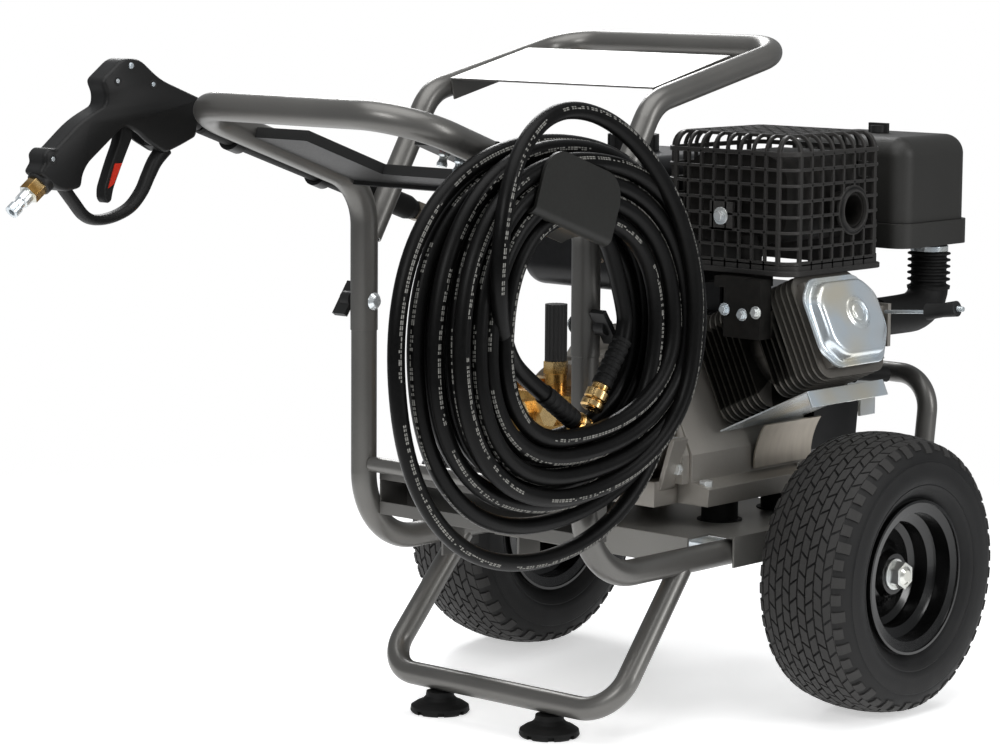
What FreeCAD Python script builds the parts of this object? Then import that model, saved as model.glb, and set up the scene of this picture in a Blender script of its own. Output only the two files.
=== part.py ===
import FreeCAD, Part
import Sketcher
import math, os

# Petrol pressure washer on a two-wheeled tube frame.
# +X: right-hand side (cylinder side), +Y: from the push handle towards the engine's starter side, +Z: up.
# The model is laid out from the wheel axle's middle on the ground; every sub-part is then moved by
# datum_y along Y, which puts the origin under the middle of the machine's box, on the ground.

V = FreeCAD.Vector
R0 = FreeCAD.Rotation()
doc = FreeCAD.newDocument("pressure_washer")

# ---------------------------------------------------------------- driving dimensions
DIM = [
    ("datum_y", 303.7), ("wheel_radius", 165.0), ("wheel_track_half", 277.0), ("tyre_half_width", 63.5),
    ("rim_flange_radius", 91.0), ("hub_radius", 24.0), ("axle_radius", 9.525), ("axle_clearance", 0.05),
    ("axle_half_length", 312.0), ("nut_flats", 28.0), ("nut_thickness", 13.7),
    ("frame_half_width", 169.1), ("upright_y", -407.4), ("rail_z", 194.7), ("frame_tube_radius", 15.0),
    ("tube_wall", 2.0), ("frame_bend", 85.0), ("rail_end_y", 150.0),
    ("splice_z", 447.9), ("handle_tube_radius", 16.0), ("handle_corner_z", 619.0), ("handle_bar_y", -692.0),
    ("handle_bar_z", 719.4), ("handle_bend", 70.0),
    ("tray_tube_radius", 14.0), ("tray_low_y", -296.7), ("tray_low_z", 720.8), ("tray_far_y", -47.2),
    ("tray_far_z", 775.9), ("tray_bend", 55.0),
    ("leg_tube_radius", 13.5), ("leg_y", -363.5), ("leg_z", 38.9), ("leg_half_width", 176.2), ("leg_bend", 45.0),
    ("foot_pitch_half", 85.1), ("foot_radius", 35.0), ("foot_height", 27.0),
    ("bumper_tube_radius", 12.5), ("bumper_y", 258.0), ("bumper_z", 362.0), ("bumper_bend", 45.0),
    ("cross_tube_radius", 9.0), ("cross_tube_z", 291.0),
    ("platform_top_z", 215.0), ("platform_thickness", 2.5), ("platform_length", 236.0), ("skirt_depth", 36.0),
    ("platform_half_width", 187.6),
    ("channel_depth", 48.0), ("channel_height", 56.0), ("channel_gauge", 2.5), ("channel_length", 307.0),
    ("tray_length", 142.0), ("tray_width", 309.0), ("tray_gauge", 2.0), ("tray_pitch_deg", 13.2),
    ("crank_z", 352.0), ("engine_base_z", 241.0), ("foot_gauge", 21.0), ("cylinder_pitch_deg", 25.0),
    ("bore_radius", 44.0), ("liner_radius", 52.0), ("fin_gauge", 2.2), ("fin_pitch", 8.6), ("fin_half", 66.0),
    ("crank_radius", 17.5), ("crankcase_depth", 230.0), ("case_wall", 6.0), ("cover_depth", 45.0),
    ("flywheel_radius", 94.0), ("flywheel_depth", 30.0),
    ("isolator_radius", 22.0), ("isolator_height", 24.0),
    ("guard_wall", 3.0), ("guard_window", 15.5), ("guard_pitch", 20.5), ("guard_corner", 22.0),
    ("muffler_length", 142.0), ("outlet_radius", 21.0),
    ("cleaner_wall", 2.5), ("cleaner_corner", 24.0),
    ("tank_corner", 28.0), ("tank_wall", 2.0), ("cap_radius", 32.0), ("cap_height", 20.0),
    ("pump_radius", 58.0), ("pump_length", 62.0), ("pump_head_width", 132.0), ("pump_head_height", 62.0),
    ("pump_head_depth", 66.0), ("outlet_bore_radius", 7.0), ("inlet_bore_radius", 9.5),
    ("knob_radius", 13.0), ("knob_height", 66.0),
    ("gun_x", -215.0), ("gun_width", 30.0), ("guard_width", 16.0), ("trigger_width", 15.0), ("lance_radius", 4.75),
    ("lance_grip_radius", 14.5), ("lance_bore_radius", 3.0), ("lance_pitch_deg", 19.1),
    ("hose_radius", 9.25), ("coil_x", 222.0), ("coil_y", -521.0), ("coil_z", 482.0), ("coil_mean_radius", 187.0),
    ("coil_half_depth", 30.0), ("coil_half_radial", 56.0),
    ("hanger_gauge", 4.0), ("hanger_length", 128.0), ("hanger_drop", 62.0), ("hanger_width", 77.0), ("lip_height", 74.5),
    ("panel_gauge", 12.0), ("wing_knob_length", 44.0), ("clamp_z", 482.0),
    ("lever_gauge", 3.0), ("grip_length", 62.0),
]
sheet = doc.addObject("Spreadsheet::Sheet", "Dims")
D = {}
for i, (name, value) in enumerate(DIM, 1):
    sheet.set("A%d" % i, name)
    sheet.set("B%d" % i, str(value))
    sheet.setAlias("B%d" % i, name)
    D[name] = float(value)
doc.recompute()

SUB = []          # every sub-part, in order of making


def sub(obj, label):
    obj.Label = label
    SUB.append(obj)
    return obj


def plane(body, role):
    for f in body.Origin.OriginFeatures:
        if f.Role == role:
            return f


def new_body(name):
    return doc.addObject("PartDesign::Body", name + "_design")


def sketch(body, role, offset=0.0):
    sk = body.newObject("Sketcher::SketchObject", "sketch")
    sk.AttachmentSupport = (plane(body, role), [""])
    sk.MapMode = "FlatFace"
    if offset:
        sk.AttachmentOffset = FreeCAD.Placement(V(0, 0, offset), R0)
    return sk


def poly(sk, pts):
    """closed outline; a point given as (x, y, 'a') is the middle of an arc"""
    n = len(pts)
    i = 0
    first = None
    ids = []
    while i < n:
        p = pts[i]
        q = pts[(i + 1) % n]
        if len(q) == 3:
            r = pts[(i + 2) % n]
            ids.append(sk.addGeometry(Part.Arc(V(p[0], p[1], 0), V(q[0], q[1], 0), V(r[0], r[1], 0)), False))
            i += 2
        else:
            ids.append(sk.addGeometry(Part.LineSegment(V(p[0], p[1], 0), V(q[0], q[1], 0)), False))
            i += 1
    return ids


def rect(sk, w, h, cx=0.0, cy=0.0):
    """centred rectangle, its width and height bound to the sheet where w and h are aliases"""
    wv = D[w] if isinstance(w, str) else w
    hv = D[h] if isinstance(h, str) else h
    x0, x1, y0, y1 = cx - wv / 2, cx + wv / 2, cy - hv / 2, cy + hv / 2
    g = [sk.addGeometry(Part.LineSegment(V(*a, 0), V(*b, 0)), False) for a, b in
         (((x0, y0), (x1, y0)), ((x1, y0), (x1, y1)), ((x1, y1), (x0, y1)), ((x0, y1), (x0, y0)))]
    for a, b in ((0, 1), (1, 2), (2, 3), (3, 0)):
        sk.addConstraint(Sketcher.Constraint("Coincident", g[a], 2, g[b], 1))
    sk.addConstraint(Sketcher.Constraint("Horizontal", g[0]))
    sk.addConstraint(Sketcher.Constraint("Horizontal", g[2]))
    sk.addConstraint(Sketcher.Constraint("Vertical", g[1]))
    sk.addConstraint(Sketcher.Constraint("Vertical", g[3]))
    c = sk.addConstraint(Sketcher.Constraint("DistanceX", g[0], 1, g[0], 2, wv))
    if isinstance(w, str):
        sk.setExpression("Constraints[%d]" % c, "Dims." + w)
    c = sk.addConstraint(Sketcher.Constraint("DistanceY", g[1], 1, g[1], 2, hv))
    if isinstance(h, str):
        sk.setExpression("Constraints[%d]" % c, "Dims." + h)
    sk.addConstraint(Sketcher.Constraint("DistanceX", -1, 1, g[0], 1, x0))
    sk.addConstraint(Sketcher.Constraint("DistanceY", -1, 1, g[0], 1, y0))
    return g


def circle(sk, r, cx=0.0, cy=0.0):
    rv = D[r] if isinstance(r, str) else r
    g = sk.addGeometry(Part.Circle(V(cx, cy, 0), V(0, 0, 1), rv), False)
    c = sk.addConstraint(Sketcher.Constraint("Radius", g, rv))
    if isinstance(r, str):
        sk.setExpression("Constraints[%d]" % c, "Dims." + r)
    return g


def length(feature, prop, size):
    if isinstance(size, str):
        feature.setExpression(prop, size if "Dims." in size else "Dims." + size)
    else:
        setattr(feature, prop, size)


def pad(body, sk, size, mid=False, rev=False):
    f = body.newObject("PartDesign::Pad", "pad")
    f.Profile = sk
    length(f, "Length", size)
    f.Midplane = mid
    f.Reversed = rev
    sk.Visibility = False
    return f


def pocket(body, sk, size, mid=False, rev=False, through=False):
    f = body.newObject("PartDesign::Pocket", "pocket")
    f.Profile = sk
    length(f, "Length", size)
    f.Midplane = mid
    f.Reversed = rev
    if through:
        f.Type = 1
    sk.Visibility = False
    return f


def revolve(body, sk, axis="H_Axis"):
    f = body.newObject("PartDesign::Revolution", "revolution")
    f.Profile = sk
    f.ReferenceAxis = (sk, [axis])
    f.Angle = 360.0
    sk.Visibility = False
    return f


def place(obj, pos=(0, 0, 0), rot=None):
    obj.Placement = FreeCAD.Placement(V(*pos), rot if rot is not None else R0)
    return obj


def about(axis, deg):
    return FreeCAD.Rotation(V(*axis), deg)


def along(direction):
    return FreeCAD.Rotation(V(0, 0, 1), V(*direction))


def cyl(name, r, h, pos, direction=(0, 0, 1)):
    o = doc.addObject("Part::Cylinder", name)
    length(o, "Radius", r)
    length(o, "Height", h)
    return place(o, pos, along(direction))


def box(name, l, w, h, pos, rot=None):
    o = doc.addObject("Part::Box", name)
    length(o, "Length", l)
    length(o, "Width", w)
    length(o, "Height", h)
    return place(o, pos, rot)


def cone(name, r1, r2, h, pos, direction=(0, 0, 1)):
    o = doc.addObject("Part::Cone", name)
    length(o, "Radius1", r1)
    length(o, "Radius2", r2)
    length(o, "Height", h)
    return place(o, pos, along(direction))


def prism6(name, flats, h, pos, direction=(0, 0, 1)):
    o = doc.addObject("Part::Prism", name)
    o.Polygon = 6
    if isinstance(flats, str):
        o.setExpression("Circumradius", "Dims.%s / sqrt(3)" % flats)
    else:
        o.Circumradius = flats / math.sqrt(3)
    length(o, "Height", h)
    return place(o, pos, along(direction))


def fuse(name, parts):
    o = doc.addObject("Part::MultiFuse", name)
    o.Shapes = parts
    o.Refine = True
    return o


def cut(name, a, b):
    o = doc.addObject("Part::Cut", name)
    o.Base = a
    o.Tool = b
    o.Refine = True
    return o


def group(name, parts):
    o = doc.addObject("Part::Compound", name)
    o.Links = parts
    return o


def fillet(name, base, edges, r):
    o = doc.addObject("Part::Fillet", name)
    o.Base = base
    o.Edges = [(e, r, r) for e in edges]
    return o


def edge_ids(shape, test):
    out = []
    for i, e in enumerate(shape.Edges, 1):
        try:
            if test(e):
                out.append(i)
        except Exception:
            pass
    return out


def feature(name, shape):
    o = doc.addObject("Part::Feature", name)
    o.Shape = shape
    return o


# ---------------------------------------------------------------- bent tube: straight runs and tangent arcs
def path_wire(pts, radii, report=None):
    pts = [V(*p) for p in pts]
    edges = []
    last = pts[0]
    total = 0.0
    for i in range(1, len(pts) - 1):
        a, b, c = pts[i - 1], pts[i], pts[i + 1]
        u = (a - b).normalize()
        w = (c - b).normalize()
        turn = math.pi - u.getAngle(w)
        r = radii[i - 1]
        t = r * math.tan(turn / 2)
        p1, p2 = b + u * t, b + w * t
        bis = (u + w).normalize()
        centre = b + bis * (r / math.cos(turn / 2))
        mid = centre - bis * r
        if (p1 - last).Length > 1e-4:
            edges.append(Part.LineSegment(last, p1).toShape())
            total += (p1 - last).Length
        edges.append(Part.Arc(p1, mid, p2).toShape())
        total += r * turn
        last = p2
    edges.append(Part.LineSegment(last, pts[-1]).toShape())
    total += (pts[-1] - last).Length
    return Part.Wire(edges), total


def tube_shape(pts, radii, r_out, r_in=0.0):
    wire, total = path_wire(pts, radii)
    d = (V(*pts[1]) - V(*pts[0])).normalize()

    def pipe(r):
        prof = Part.Wire([Part.Circle(V(*pts[0]), d, r).toShape()])
        return wire.makePipeShell([prof], True, False)

    s = pipe(r_out)
    if r_in > 0:
        s = s.cut(pipe(r_in))
    want = math.pi * (r_out ** 2 - r_in ** 2) * total
    print("tube length %.1f  volume ratio %.4f" % (total, s.Volume / want))
    return s


def cord_radii(pts):
    """arc radius at each inner point: 0.45 of the shorter run over the tangent of half the turn"""
    out = []
    for i in range(1, len(pts) - 1):
        a, b, c = V(*pts[i - 1]), V(*pts[i]), V(*pts[i + 1])
        u, w = a - b, c - b
        turn = math.pi - u.getAngle(w)
        out.append(0.45 * min(u.Length, w.Length) / math.tan(turn / 2))
    return out


X0 = D["frame_half_width"]
UY = D["upright_y"]

# ================================================================ FRAME
for side, sx in (("left", -1), ("right", 1)):
    x = sx * X0
    s = tube_shape([(x, UY, 520.0), (x, UY, D["rail_z"]), (x, D["rail_end_y"], D["rail_z"])],
                   [D["frame_bend"]], D["frame_tube_radius"], D["frame_tube_radius"] - D["tube_wall"])
    sub(feature("frame_" + side + "_shape", s), "frame_" + side)

# the rear bumper carries the rails on, rises and crosses behind the engine
by, bz, rz = D["bumper_y"], D["bumper_z"], D["rail_z"]
s = tube_shape([(-X0, D["rail_end_y"] - 28, rz), (-X0, by - 22, rz), (-X0, by, bz), (X0, by, bz), (X0, by - 22, rz),
                (X0, D["rail_end_y"] - 28, rz)], [D["bumper_bend"]] * 4, D["bumper_tube_radius"],
               D["bumper_tube_radius"] - D["tube_wall"])
sub(feature("rear_bumper_shape", s), "rear_bumper")

# push handle: sleeves over the uprights' upper ends, leans back and up, one cross bar
hc, hy, hz = D["handle_corner_z"], D["handle_bar_y"], D["handle_bar_z"]
s = tube_shape([(-X0, UY, D["splice_z"]), (-X0, UY, hc), (-X0, hy, hz), (X0, hy, hz), (X0, UY, hc), (X0, UY, D["splice_z"])],
               [D["handle_bend"]] * 4, D["handle_tube_radius"], D["frame_tube_radius"] + 0.1)
sub(feature("handle_loop_shape", s), "handle_loop")

# tray frame: braces off the handle's legs, two side tubes and a far cross bar
s = tube_shape([(-X0, UY + 9, 556.0), (-X0, D["tray_low_y"], D["tray_low_z"]), (-X0, D["tray_far_y"], D["tray_far_z"]),
                (X0, D["tray_far_y"], D["tray_far_z"]), (X0, D["tray_low_y"], D["tray_low_z"]), (X0, UY + 9, 556.0)],
               [D["tray_bend"]] * 4, D["tray_tube_radius"], D["tray_tube_radius"] - D["tube_wall"])
sub(feature("tray_frame_shape", s), "tray_frame")

# front leg: U of tube, feet towards the handle
lw, ly, lz = D["leg_half_width"], D["leg_y"], D["leg_z"]
s = tube_shape([(-X0, -236.0, 186.0), (-lw, ly, lz), (lw, ly, lz), (X0, -236.0, 186.0)], [D["leg_bend"]] * 2,
               D["leg_tube_radius"], D["leg_tube_radius"] - D["tube_wall"])
sub(feature("front_leg_shape", s), "front_leg")

# cross members: lipped channel and a thin tube between the uprights
b = new_body("channel")
sk = sketch(b, "YZ_Plane")
cd, ch, cg = D["channel_depth"], D["channel_height"], D["channel_gauge"]
lip = 15.0
poly(sk, [(0, 0), (cd, 0), (cd, ch), (0, ch), (0, ch - lip), (cg, ch - lip), (cg, ch - cg), (cd - cg, ch - cg),
          (cd - cg, cg), (cg, cg), (cg, lip), (0, lip)])
pad(b, sk, "channel_length", mid=True)
place(b, (0, -397.0, 231.0))
end_a = box("channel_end_left", 2.0, 47.0, 55.0, (-153.6, -396.5, 231.5))
end_b = box("channel_end_right", 2.0, 47.0, 55.0, (151.6, -396.5, 231.5))
cross = cyl("cross_tube", "cross_tube_radius", 2 * (X0 - 14.4), (-(X0 - 14.4), UY - 1.0, D["cross_tube_z"]), (1, 0, 0))
posts = [box("channel_post_%d" % i, 3.0, 36.0, 38.0, (sx, -391.0, 193.2)) for i, sx in enumerate((-60.0, 57.0))]
sub(group("cross_members_group", [fuse("channel_fused", [b, end_a, end_b] + posts), cross]), "cross_members")

# engine platform: folded pan between and over the rails, axle ears under it
b = new_body("platform")
sk = sketch(b, "XZ_Plane")
pw, pt, pg, sd = D["platform_half_width"], D["platform_top_z"], D["platform_thickness"], D["skirt_depth"]
poly(sk, [(-pw, pt - sd), (-pw + pg, pt - sd), (-pw + pg, pt - pg), (pw - pg, pt - pg), (pw - pg, pt - sd), (pw, pt - sd),
          (pw, pt), (-pw, pt)])
pad(b, sk, "platform_length", rev=True)
place(b, (0, -160.0, 0))
deck = box("platform_nose", 2 * 150.0, 41.0, "platform_thickness", (-150.0, -199.0, pt - pg))
web = box("platform_nose_web", 2 * 150.0, "platform_thickness", 34.0, (-150.0, -199.0, pt - 34.0))
ears = []
for i, ex in enumerate((-151.0, 148.0)):
    ear = box("axle_ear_%d" % i, 3.0, 52.0, 62.0, (ex, -26.0, pt - pg - 61.5))
    ears.append(ear)
whole = fuse("platform_fused", [b, deck, web] + ears)
bore = cyl("axle_passage", "axle_radius", 400.0, (-200.0, 0, D["wheel_radius"]), (1, 0, 0))
sub(cut("platform_cut", whole, bore), "engine_platform")

# rubber feet: bell with a flat tread, threaded neck under the leg bar
def foot(n, x):
    b = new_body("foot_%d" % n)
    sk = sketch(b, "XZ_Plane")
    fr, fh = D["foot_radius"], D["foot_height"]
    poly(sk, [(0, 0), (fr - 2, 0), (fr, 2.5), (fr - 1, 8), (fr - 7, 12), (21, 15), (17, 19), (16, fh - 2.2), (0, fh - 2.2)])
    revolve(b, sk, "V_Axis")
    sk2 = sketch(b, "XZ_Plane", 0)
    poly(sk2, [(fr - 5, -1), (fr + 3, -1), (fr + 3, 5), (fr - 5, 5)])
    p = pocket(b, sk2, 7.0, mid=True)
    pp = b.newObject("PartDesign::PolarPattern", "notches")
    pp.Originals = [p]
    pp.Axis = (sk, ["V_Axis"])
    pp.Angle = 360.0
    pp.Occurrences = 8
    b.Tip = pp
    return place(b, (x, -365.0, 0))

sub(group("feet_group", [foot(0, -D["foot_pitch_half"]), foot(1, D["foot_pitch_half"])]), "rubber_feet")

# tray plate: shallow folded sheet on the tray frame
b = new_body("tray")
sk = sketch(b, "XY_Plane")
rect(sk, "tray_width", "tray_length")
pad(b, sk, "tray_gauge")
sk = sketch(b, "XY_Plane")
rect(sk, 2.0, "tray_length", D["tray_width"] / 2 - 1.0, 0)
pad(b, sk, 24.0, rev=True)
sk = sketch(b, "XY_Plane")
rect(sk, 2.0, "tray_length", -D["tray_width"] / 2 + 1.0, 0)
pad(b, sk, 24.0, rev=True)
place(b, (0, -208.0, 751.0), about((1, 0, 0), D["tray_pitch_deg"]))
sub(b, "tray_plate")

# nozzle panel: black moulded shelf between the handle's side tubes, open in the middle
pitch = math.degrees(math.atan2(hz - hc, UY - hy))
b = new_body("panel")
sk = sketch(b, "XY_Plane")
poly(sk, [(-152.6, -30), (152.6, -30), (152.6, -215), (104, -215), (104, -72), (-72, -72), (-72, -200), (-152.6, -200)])
pad(b, sk, "panel_gauge", mid=True)
sk = sketch(b, "XY_Plane")
rect(sk, 305.0, 4.0, 0, -32.0)
pad(b, sk, 22.0, mid=True)
for k in range(5):
    sk = sketch(b, "XY_Plane")
    circle(sk, 6.6, 128.0, -88.0 - 26.0 * k)
    pocket(b, sk, 40.0, mid=True)
place(b, (0, UY, hc), about((1, 0, 0), -pitch))
sub(b, "nozzle_panel")

# spray tips: quick-connect plug with a coloured collar, one solid each
tips = []
ca, sa = math.cos(math.radians(pitch)), math.sin(math.radians(pitch))
for k in range(5):
    vy, vz = UY + (-88.0 - 26.0 * k) * ca, hc - (-88.0 - 26.0 * k) * sa
    b = new_body("tip_%d" % k)
    sk = sketch(b, "XZ_Plane")
    poly(sk, [(0, -22), (5.4, -22), (5.9, -19), (4.4, -15), (4.4, -12), (6.2, -10), (6.2, 6.3), (10.5, 7.5), (11.5, 18), (9.5, 22),
              (4, 22), (3.0, 19), (0, 19)])
    revolve(b, sk, "V_Axis")
    tips.append(place(b, (128.0, vy, vz), about((1, 0, 0), -pitch)))
sub(group("tips_group", tips), "nozzle_tips")

# hose hanger: trough along the right-hand handle tube with an upright outer lip
b = new_body("hanger")
sk = sketch(b, "XZ_Plane")
g, w, dr, lh = D["hanger_gauge"], D["hanger_width"], D["hanger_drop"], D["lip_height"]
xi = X0 + D["handle_tube_radius"] + 0.4
poly(sk, [(xi, 12), (xi, -dr + 10), (xi + 3, -dr + 3, "a"), (xi + 10, -dr), (xi + w / 2, -dr + 9, "a"), (xi + w - 10, -dr), (xi + w - 3, -dr + 3, "a"),
          (xi + w, -dr + 10), (xi + w, -dr + lh), (xi + w - g, -dr + lh), (xi + w - g, -dr + 12), (xi + w - 6, -dr + 6, "a"), (xi + w - 12, -dr + g),
          (xi + w / 2, -dr + 9 + g, "a"), (xi + 12, -dr + g), (xi + 6, -dr + 6, "a"), (xi + g, -dr + 12), (xi + g, 12)])
pad(b, sk, "hanger_length", rev=True)
y1 = -458.0
z1 = hc + (UY - y1) * math.tan(math.radians(pitch))
place(b, (0, y1, z1), about((1, 0, 0), -pitch) * about((0, 0, 1), 0))
b.Placement = FreeCAD.Placement(V(0, y1, z1), about((1, 0, 0), -pitch)) * FreeCAD.Placement(V(0, -D["hanger_length"], 0), R0)
doc.recompute()
cph, sph = math.cos(math.radians(pitch)), math.sin(math.radians(pitch))
tops = edge_ids(b.Shape, lambda e: 3.5 < e.BoundBox.XLength < 4.5 and e.BoundBox.YLength < 0.1 and e.BoundBox.ZLength < 0.1
                and sph * (e.BoundBox.YMin - y1) + cph * (e.BoundBox.ZMin - z1) > 10.0 and e.BoundBox.XMin > xi + 40)
# the lip's two upper corners are rounded off so that the hose slides over them
sub(fillet("hanger_lip_round", b, tops, 30.0), "hose_hanger")

# lance clips: saddle on the handle tube with an open ring round the lance grip
LP = math.radians(D["lance_pitch_deg"])
LU = V(0, math.cos(LP), -math.sin(LP))          # lance direction, from the gun down to the nozzle
LB = V(D["gun_x"], -634.0, 701.0)               # barrel end of the gun on the lance axis


def lance_at(s):
    p = LB + LU * s
    return (p.x, p.y, p.z)


clips = []
for n, s in enumerate((62.0, 205.0)):
    p = lance_at(s)
    ring = cyl("clip_ring_%d" % n, D["lance_grip_radius"] + 5.0, 16.0, p, (LU.x, LU.y, LU.z))
    arm = box("clip_arm_%d" % n, 34.0, 16.0, 9.0, (p[0] + 10.0, p[1], p[2] - 4.5), about((1, 0, 0), -D["lance_pitch_deg"]))
    hole = cyl("clip_hole_%d" % n, D["lance_grip_radius"] + 0.6, 60.0, lance_at(s - 20), (LU.x, LU.y, LU.z))
    tube_hole = cyl("clip_tube_%d" % n, D["handle_tube_radius"] + 0.05, 200.0,
                    (-X0, UY - 285.0 * 0.85, hc + 100.4 * 0.85), (0, math.cos(math.radians(pitch)), -math.sin(math.radians(pitch))))
    clips.append(cut("clip_%d" % n, fuse("clip_solid_%d" % n, [ring, arm]), fuse("clip_voids_%d" % n, [hole, tube_hole])))
sub(group("clips_group", clips), "lance_clips")

# axle, shoulder collars inboard of the hubs
ax = cyl("axle_rod", "axle_radius", "Dims.axle_half_length * 2", (-D["axle_half_length"], 0, D["wheel_radius"]), (1, 0, 0))
c1 = cyl("collar_left", 14.0, 9.0, (-226.5, 0, D["wheel_radius"]), (1, 0, 0))
c2 = cyl("collar_right", 14.0, 9.0, (217.5, 0, D["wheel_radius"]), (1, 0, 0))
sub(fuse("axle_fused", [ax, c1, c2]), "axle")

nuts = []
for n, sx in enumerate((-1, 1)):
    x = 303.2 if sx > 0 else -303.2
    wsh = cyl("washer_%d" % n, 18.5, 1.8, (sx * 301.6, 0, D["wheel_radius"]), (sx, 0, 0))
    hexn = prism6("nut_%d" % n, "nut_flats", "nut_thickness", (sx * 303.3, 0, D["wheel_radius"]), (sx, 0, 0))
    cap = cone("nut_dome_%d" % n, 11.0, 7.0, 3.0, (sx * 317.0, 0, D["wheel_radius"]), (sx, 0, 0))
    core = cyl("nut_bore_%d" % n, "axle_radius", 14.0, (sx * 298.5, 0, D["wheel_radius"]), (sx, 0, 0))
    nuts.append(cut("axle_nut_%d" % n, fuse("nut_solid_%d" % n, [wsh, hexn, cap]), core))
sub(group("nuts_group", nuts), "axle_nuts")

# ================================================================ WHEELS
for side, sx in (("left", -1), ("right", 1)):
    rot = about((0, 0, 1), 180.0) if sx < 0 else R0
    b = new_body("tyre_" + side)
    sk = sketch(b, "XY_Plane")
    R, hw = D["wheel_radius"], D["tyre_half_width"]
    poly(sk, [(-47.8, 80), (-47.8, 92), (-59.5, 104, "a"), (-hw, 124), (-60.5, 144, "a"), (-50, R - 8), (-27, R - 2.1, "a"), (0, R - 0.02), (27, R - 2.1, "a"),
              (50, R - 8), (60.5, 144, "a"), (hw, 124), (59.5, 104, "a"), (47.8, 92), (47.8, 80), (37, 80), (37, 84), (43, 92), (52.5, 106, "a"),
              (54.5, 124), (51.5, 140, "a"), (43, R - 17), (0, R - 9.5, "a"), (-43, R - 17), (-51.5, 140, "a"), (-54.5, 124), (-52.5, 106, "a"),
              (-43, 92), (-37, 84), (-37, 80)])
    revolve(b, sk, "H_Axis")
    place(b, (sx * D["wheel_track_half"], 0, R), rot)
    sub(b, "tyre_" + side)

    b = new_body("rim_" + side)
    sk = sketch(b, "XY_Plane")
    fr, hr = D["rim_flange_radius"], D["hub_radius"]
    br = D["axle_radius"] + D["axle_clearance"]
    poly(sk, [(-55, fr), (-50, fr), (-48, 79.5), (-30, 78), (-25, 66), (25, 66), (30, 78), (48, 79.5), (50, fr), (55, fr), (55, fr - 3),
              (53, fr - 3.5), (51, 76), (32, 74.5), (27.5, 63), (9, 63), (5, 55), (8, 40), (16, 29), (24.4, hr), (24.4, br), (-50, br), (-50, hr),
              (2, hr), (3, 30), (1.5, 55), (1.5, 63), (-27.5, 63), (-32, 74.5), (-51, 76), (-53, fr - 3.5), (-55, fr - 3)])
    revolve(b, sk, "H_Axis")
    place(b, (sx * D["wheel_track_half"], 0, R), rot)
    sub(b, "rim_" + side)

# ================================================================ ENGINE
CZ = D["crank_z"]
CP = math.radians(D["cylinder_pitch_deg"])
CU = V(math.cos(CP), 0, math.sin(CP))           # cylinder axis, outward
CN = V(-math.sin(CP), 0, math.cos(CP))
CY = -10.0                                       # cylinder's place along the crank axis
CROT = about((0, 1, 0), -D["cylinder_pitch_deg"])


def cyl_pos(sv, n=0.0, y=CY):
    return (CU.x * sv + CN.x * n, y, CZ + CU.z * sv + CN.z * n)


eb = D["engine_base_z"]
fg = D["foot_gauge"]
b = new_body("crankcase")
sk = sketch(b, "XZ_Plane")
case_pts = [(-128, eb), (-62, eb), (-58, eb + 5), (58, eb + 5), (62, eb), (132, eb), (134, eb + fg), (108, eb + fg + 6), (108, 300), (96, 326),
            (40, 440), (-44, 440), (-78, 416), (-104, 372), (-110, 300), (-106, eb + fg + 6), (-128, eb + fg)]
poly(sk, case_pts)
pad(b, sk, "crankcase_depth", rev=True)
sk = sketch(b, "XZ_Plane")
poly(sk, [(-92, 272), (92, 272), (97, 300), (84, 325), (34, 430), (-42, 430), (-72, 409), (-94, 368), (-99, 300)])
pocket(b, sk, "Dims.crankcase_depth - Dims.case_wall")
place(b, (0, -140.0, 0))
b1 = cyl("liner_bore_in_case", "Dims.liner_radius - 3", 70.0, cyl_pos(50.0), (CU.x, 0, CU.z))
b2 = cyl("main_bearing_bore", "Dims.crank_radius + Dims.axle_clearance", 60.0, (0, 60.0, CZ), (0, 1, 0))
sub(cut("crankcase_cut", b, fuse("crankcase_bores", [b1, b2])), "crankcase")

b = new_body("crankcase_cover")
sk = sketch(b, "XZ_Plane")
poly(sk, [(-100, 266), (104, 266), (104, 300), (92, 330), (38, 436), (-16, 438), (-72, 414), (-102, 370), (-108, 300)])
pad(b, sk, 12.0)
sk = sketch(b, "XZ_Plane", 12.0)
poly(sk, [(-78, 284), (80, 284), (86, 312), (70, 352), (30, 412), (-16, 416), (-60, 396), (-84, 358), (-88, 306)])
pad(b, sk, "Dims.cover_depth - 12")
sk = sketch(b, "XZ_Plane", 0)
circle(sk, "Dims.crank_radius".replace("Dims.", ""), 0, CZ)
pocket(b, sk, 80.0, rev=False, through=True)
place(b, (0, -140.2, 0))
hole = cyl("cover_shaft_bore", "Dims.crank_radius + Dims.axle_clearance", 80.0, (0, -200.0, CZ), (0, 1, 0))
# ribs running down from the cover's boss to the mounting foot
ribs = [box("cover_rib_%d" % i, 6.0, 26.0, 64.0, (rx, -176.0, 262.0), about((0, 1, 0), ra))
        for i, (rx, ra) in enumerate(((58.0, 14.0), (84.0, 18.0), (-66.0, -14.0)))]
toe = box("cover_foot", 176.0, 45.0, 30.0, (-88.0, -185.3, eb))
sub(cut("cover_cut", fuse("cover_fused", [b, toe] + ribs), hole), "crankcase_cover")

# finned cylinder: liner with square cooling fins across its axis
s0, n_fin = 86.0, 8
fh, fg2, fp = D["fin_half"], D["fin_gauge"], D["fin_pitch"]
barrel = cyl("barrel_core", "liner_radius", 84.0, cyl_pos(80.0), (CU.x, 0, CU.z))
fins = []
b = new_body("fin_stack")
sk = sketch(b, "YZ_Plane")
c = 20.0
fin_outline = [(-fh, -fh + c), (-fh + c * 0.3, -fh + c * 0.3, "a"), (-fh + c, -fh), (fh - c, -fh), (fh - c * 0.3, -fh + c * 0.3, "a"), (fh, -fh + c),
               (fh, fh - c), (fh - c * 0.3, fh - c * 0.3, "a"), (fh - c, fh), (-fh + c, fh), (-fh + c * 0.3, fh - c * 0.3, "a"), (-fh, fh - c)]
poly(sk, fin_outline)
p = pad(b, sk, "fin_gauge")
lp = b.newObject("PartDesign::LinearPattern", "fin_pattern")
lp.Originals = [p]
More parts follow.
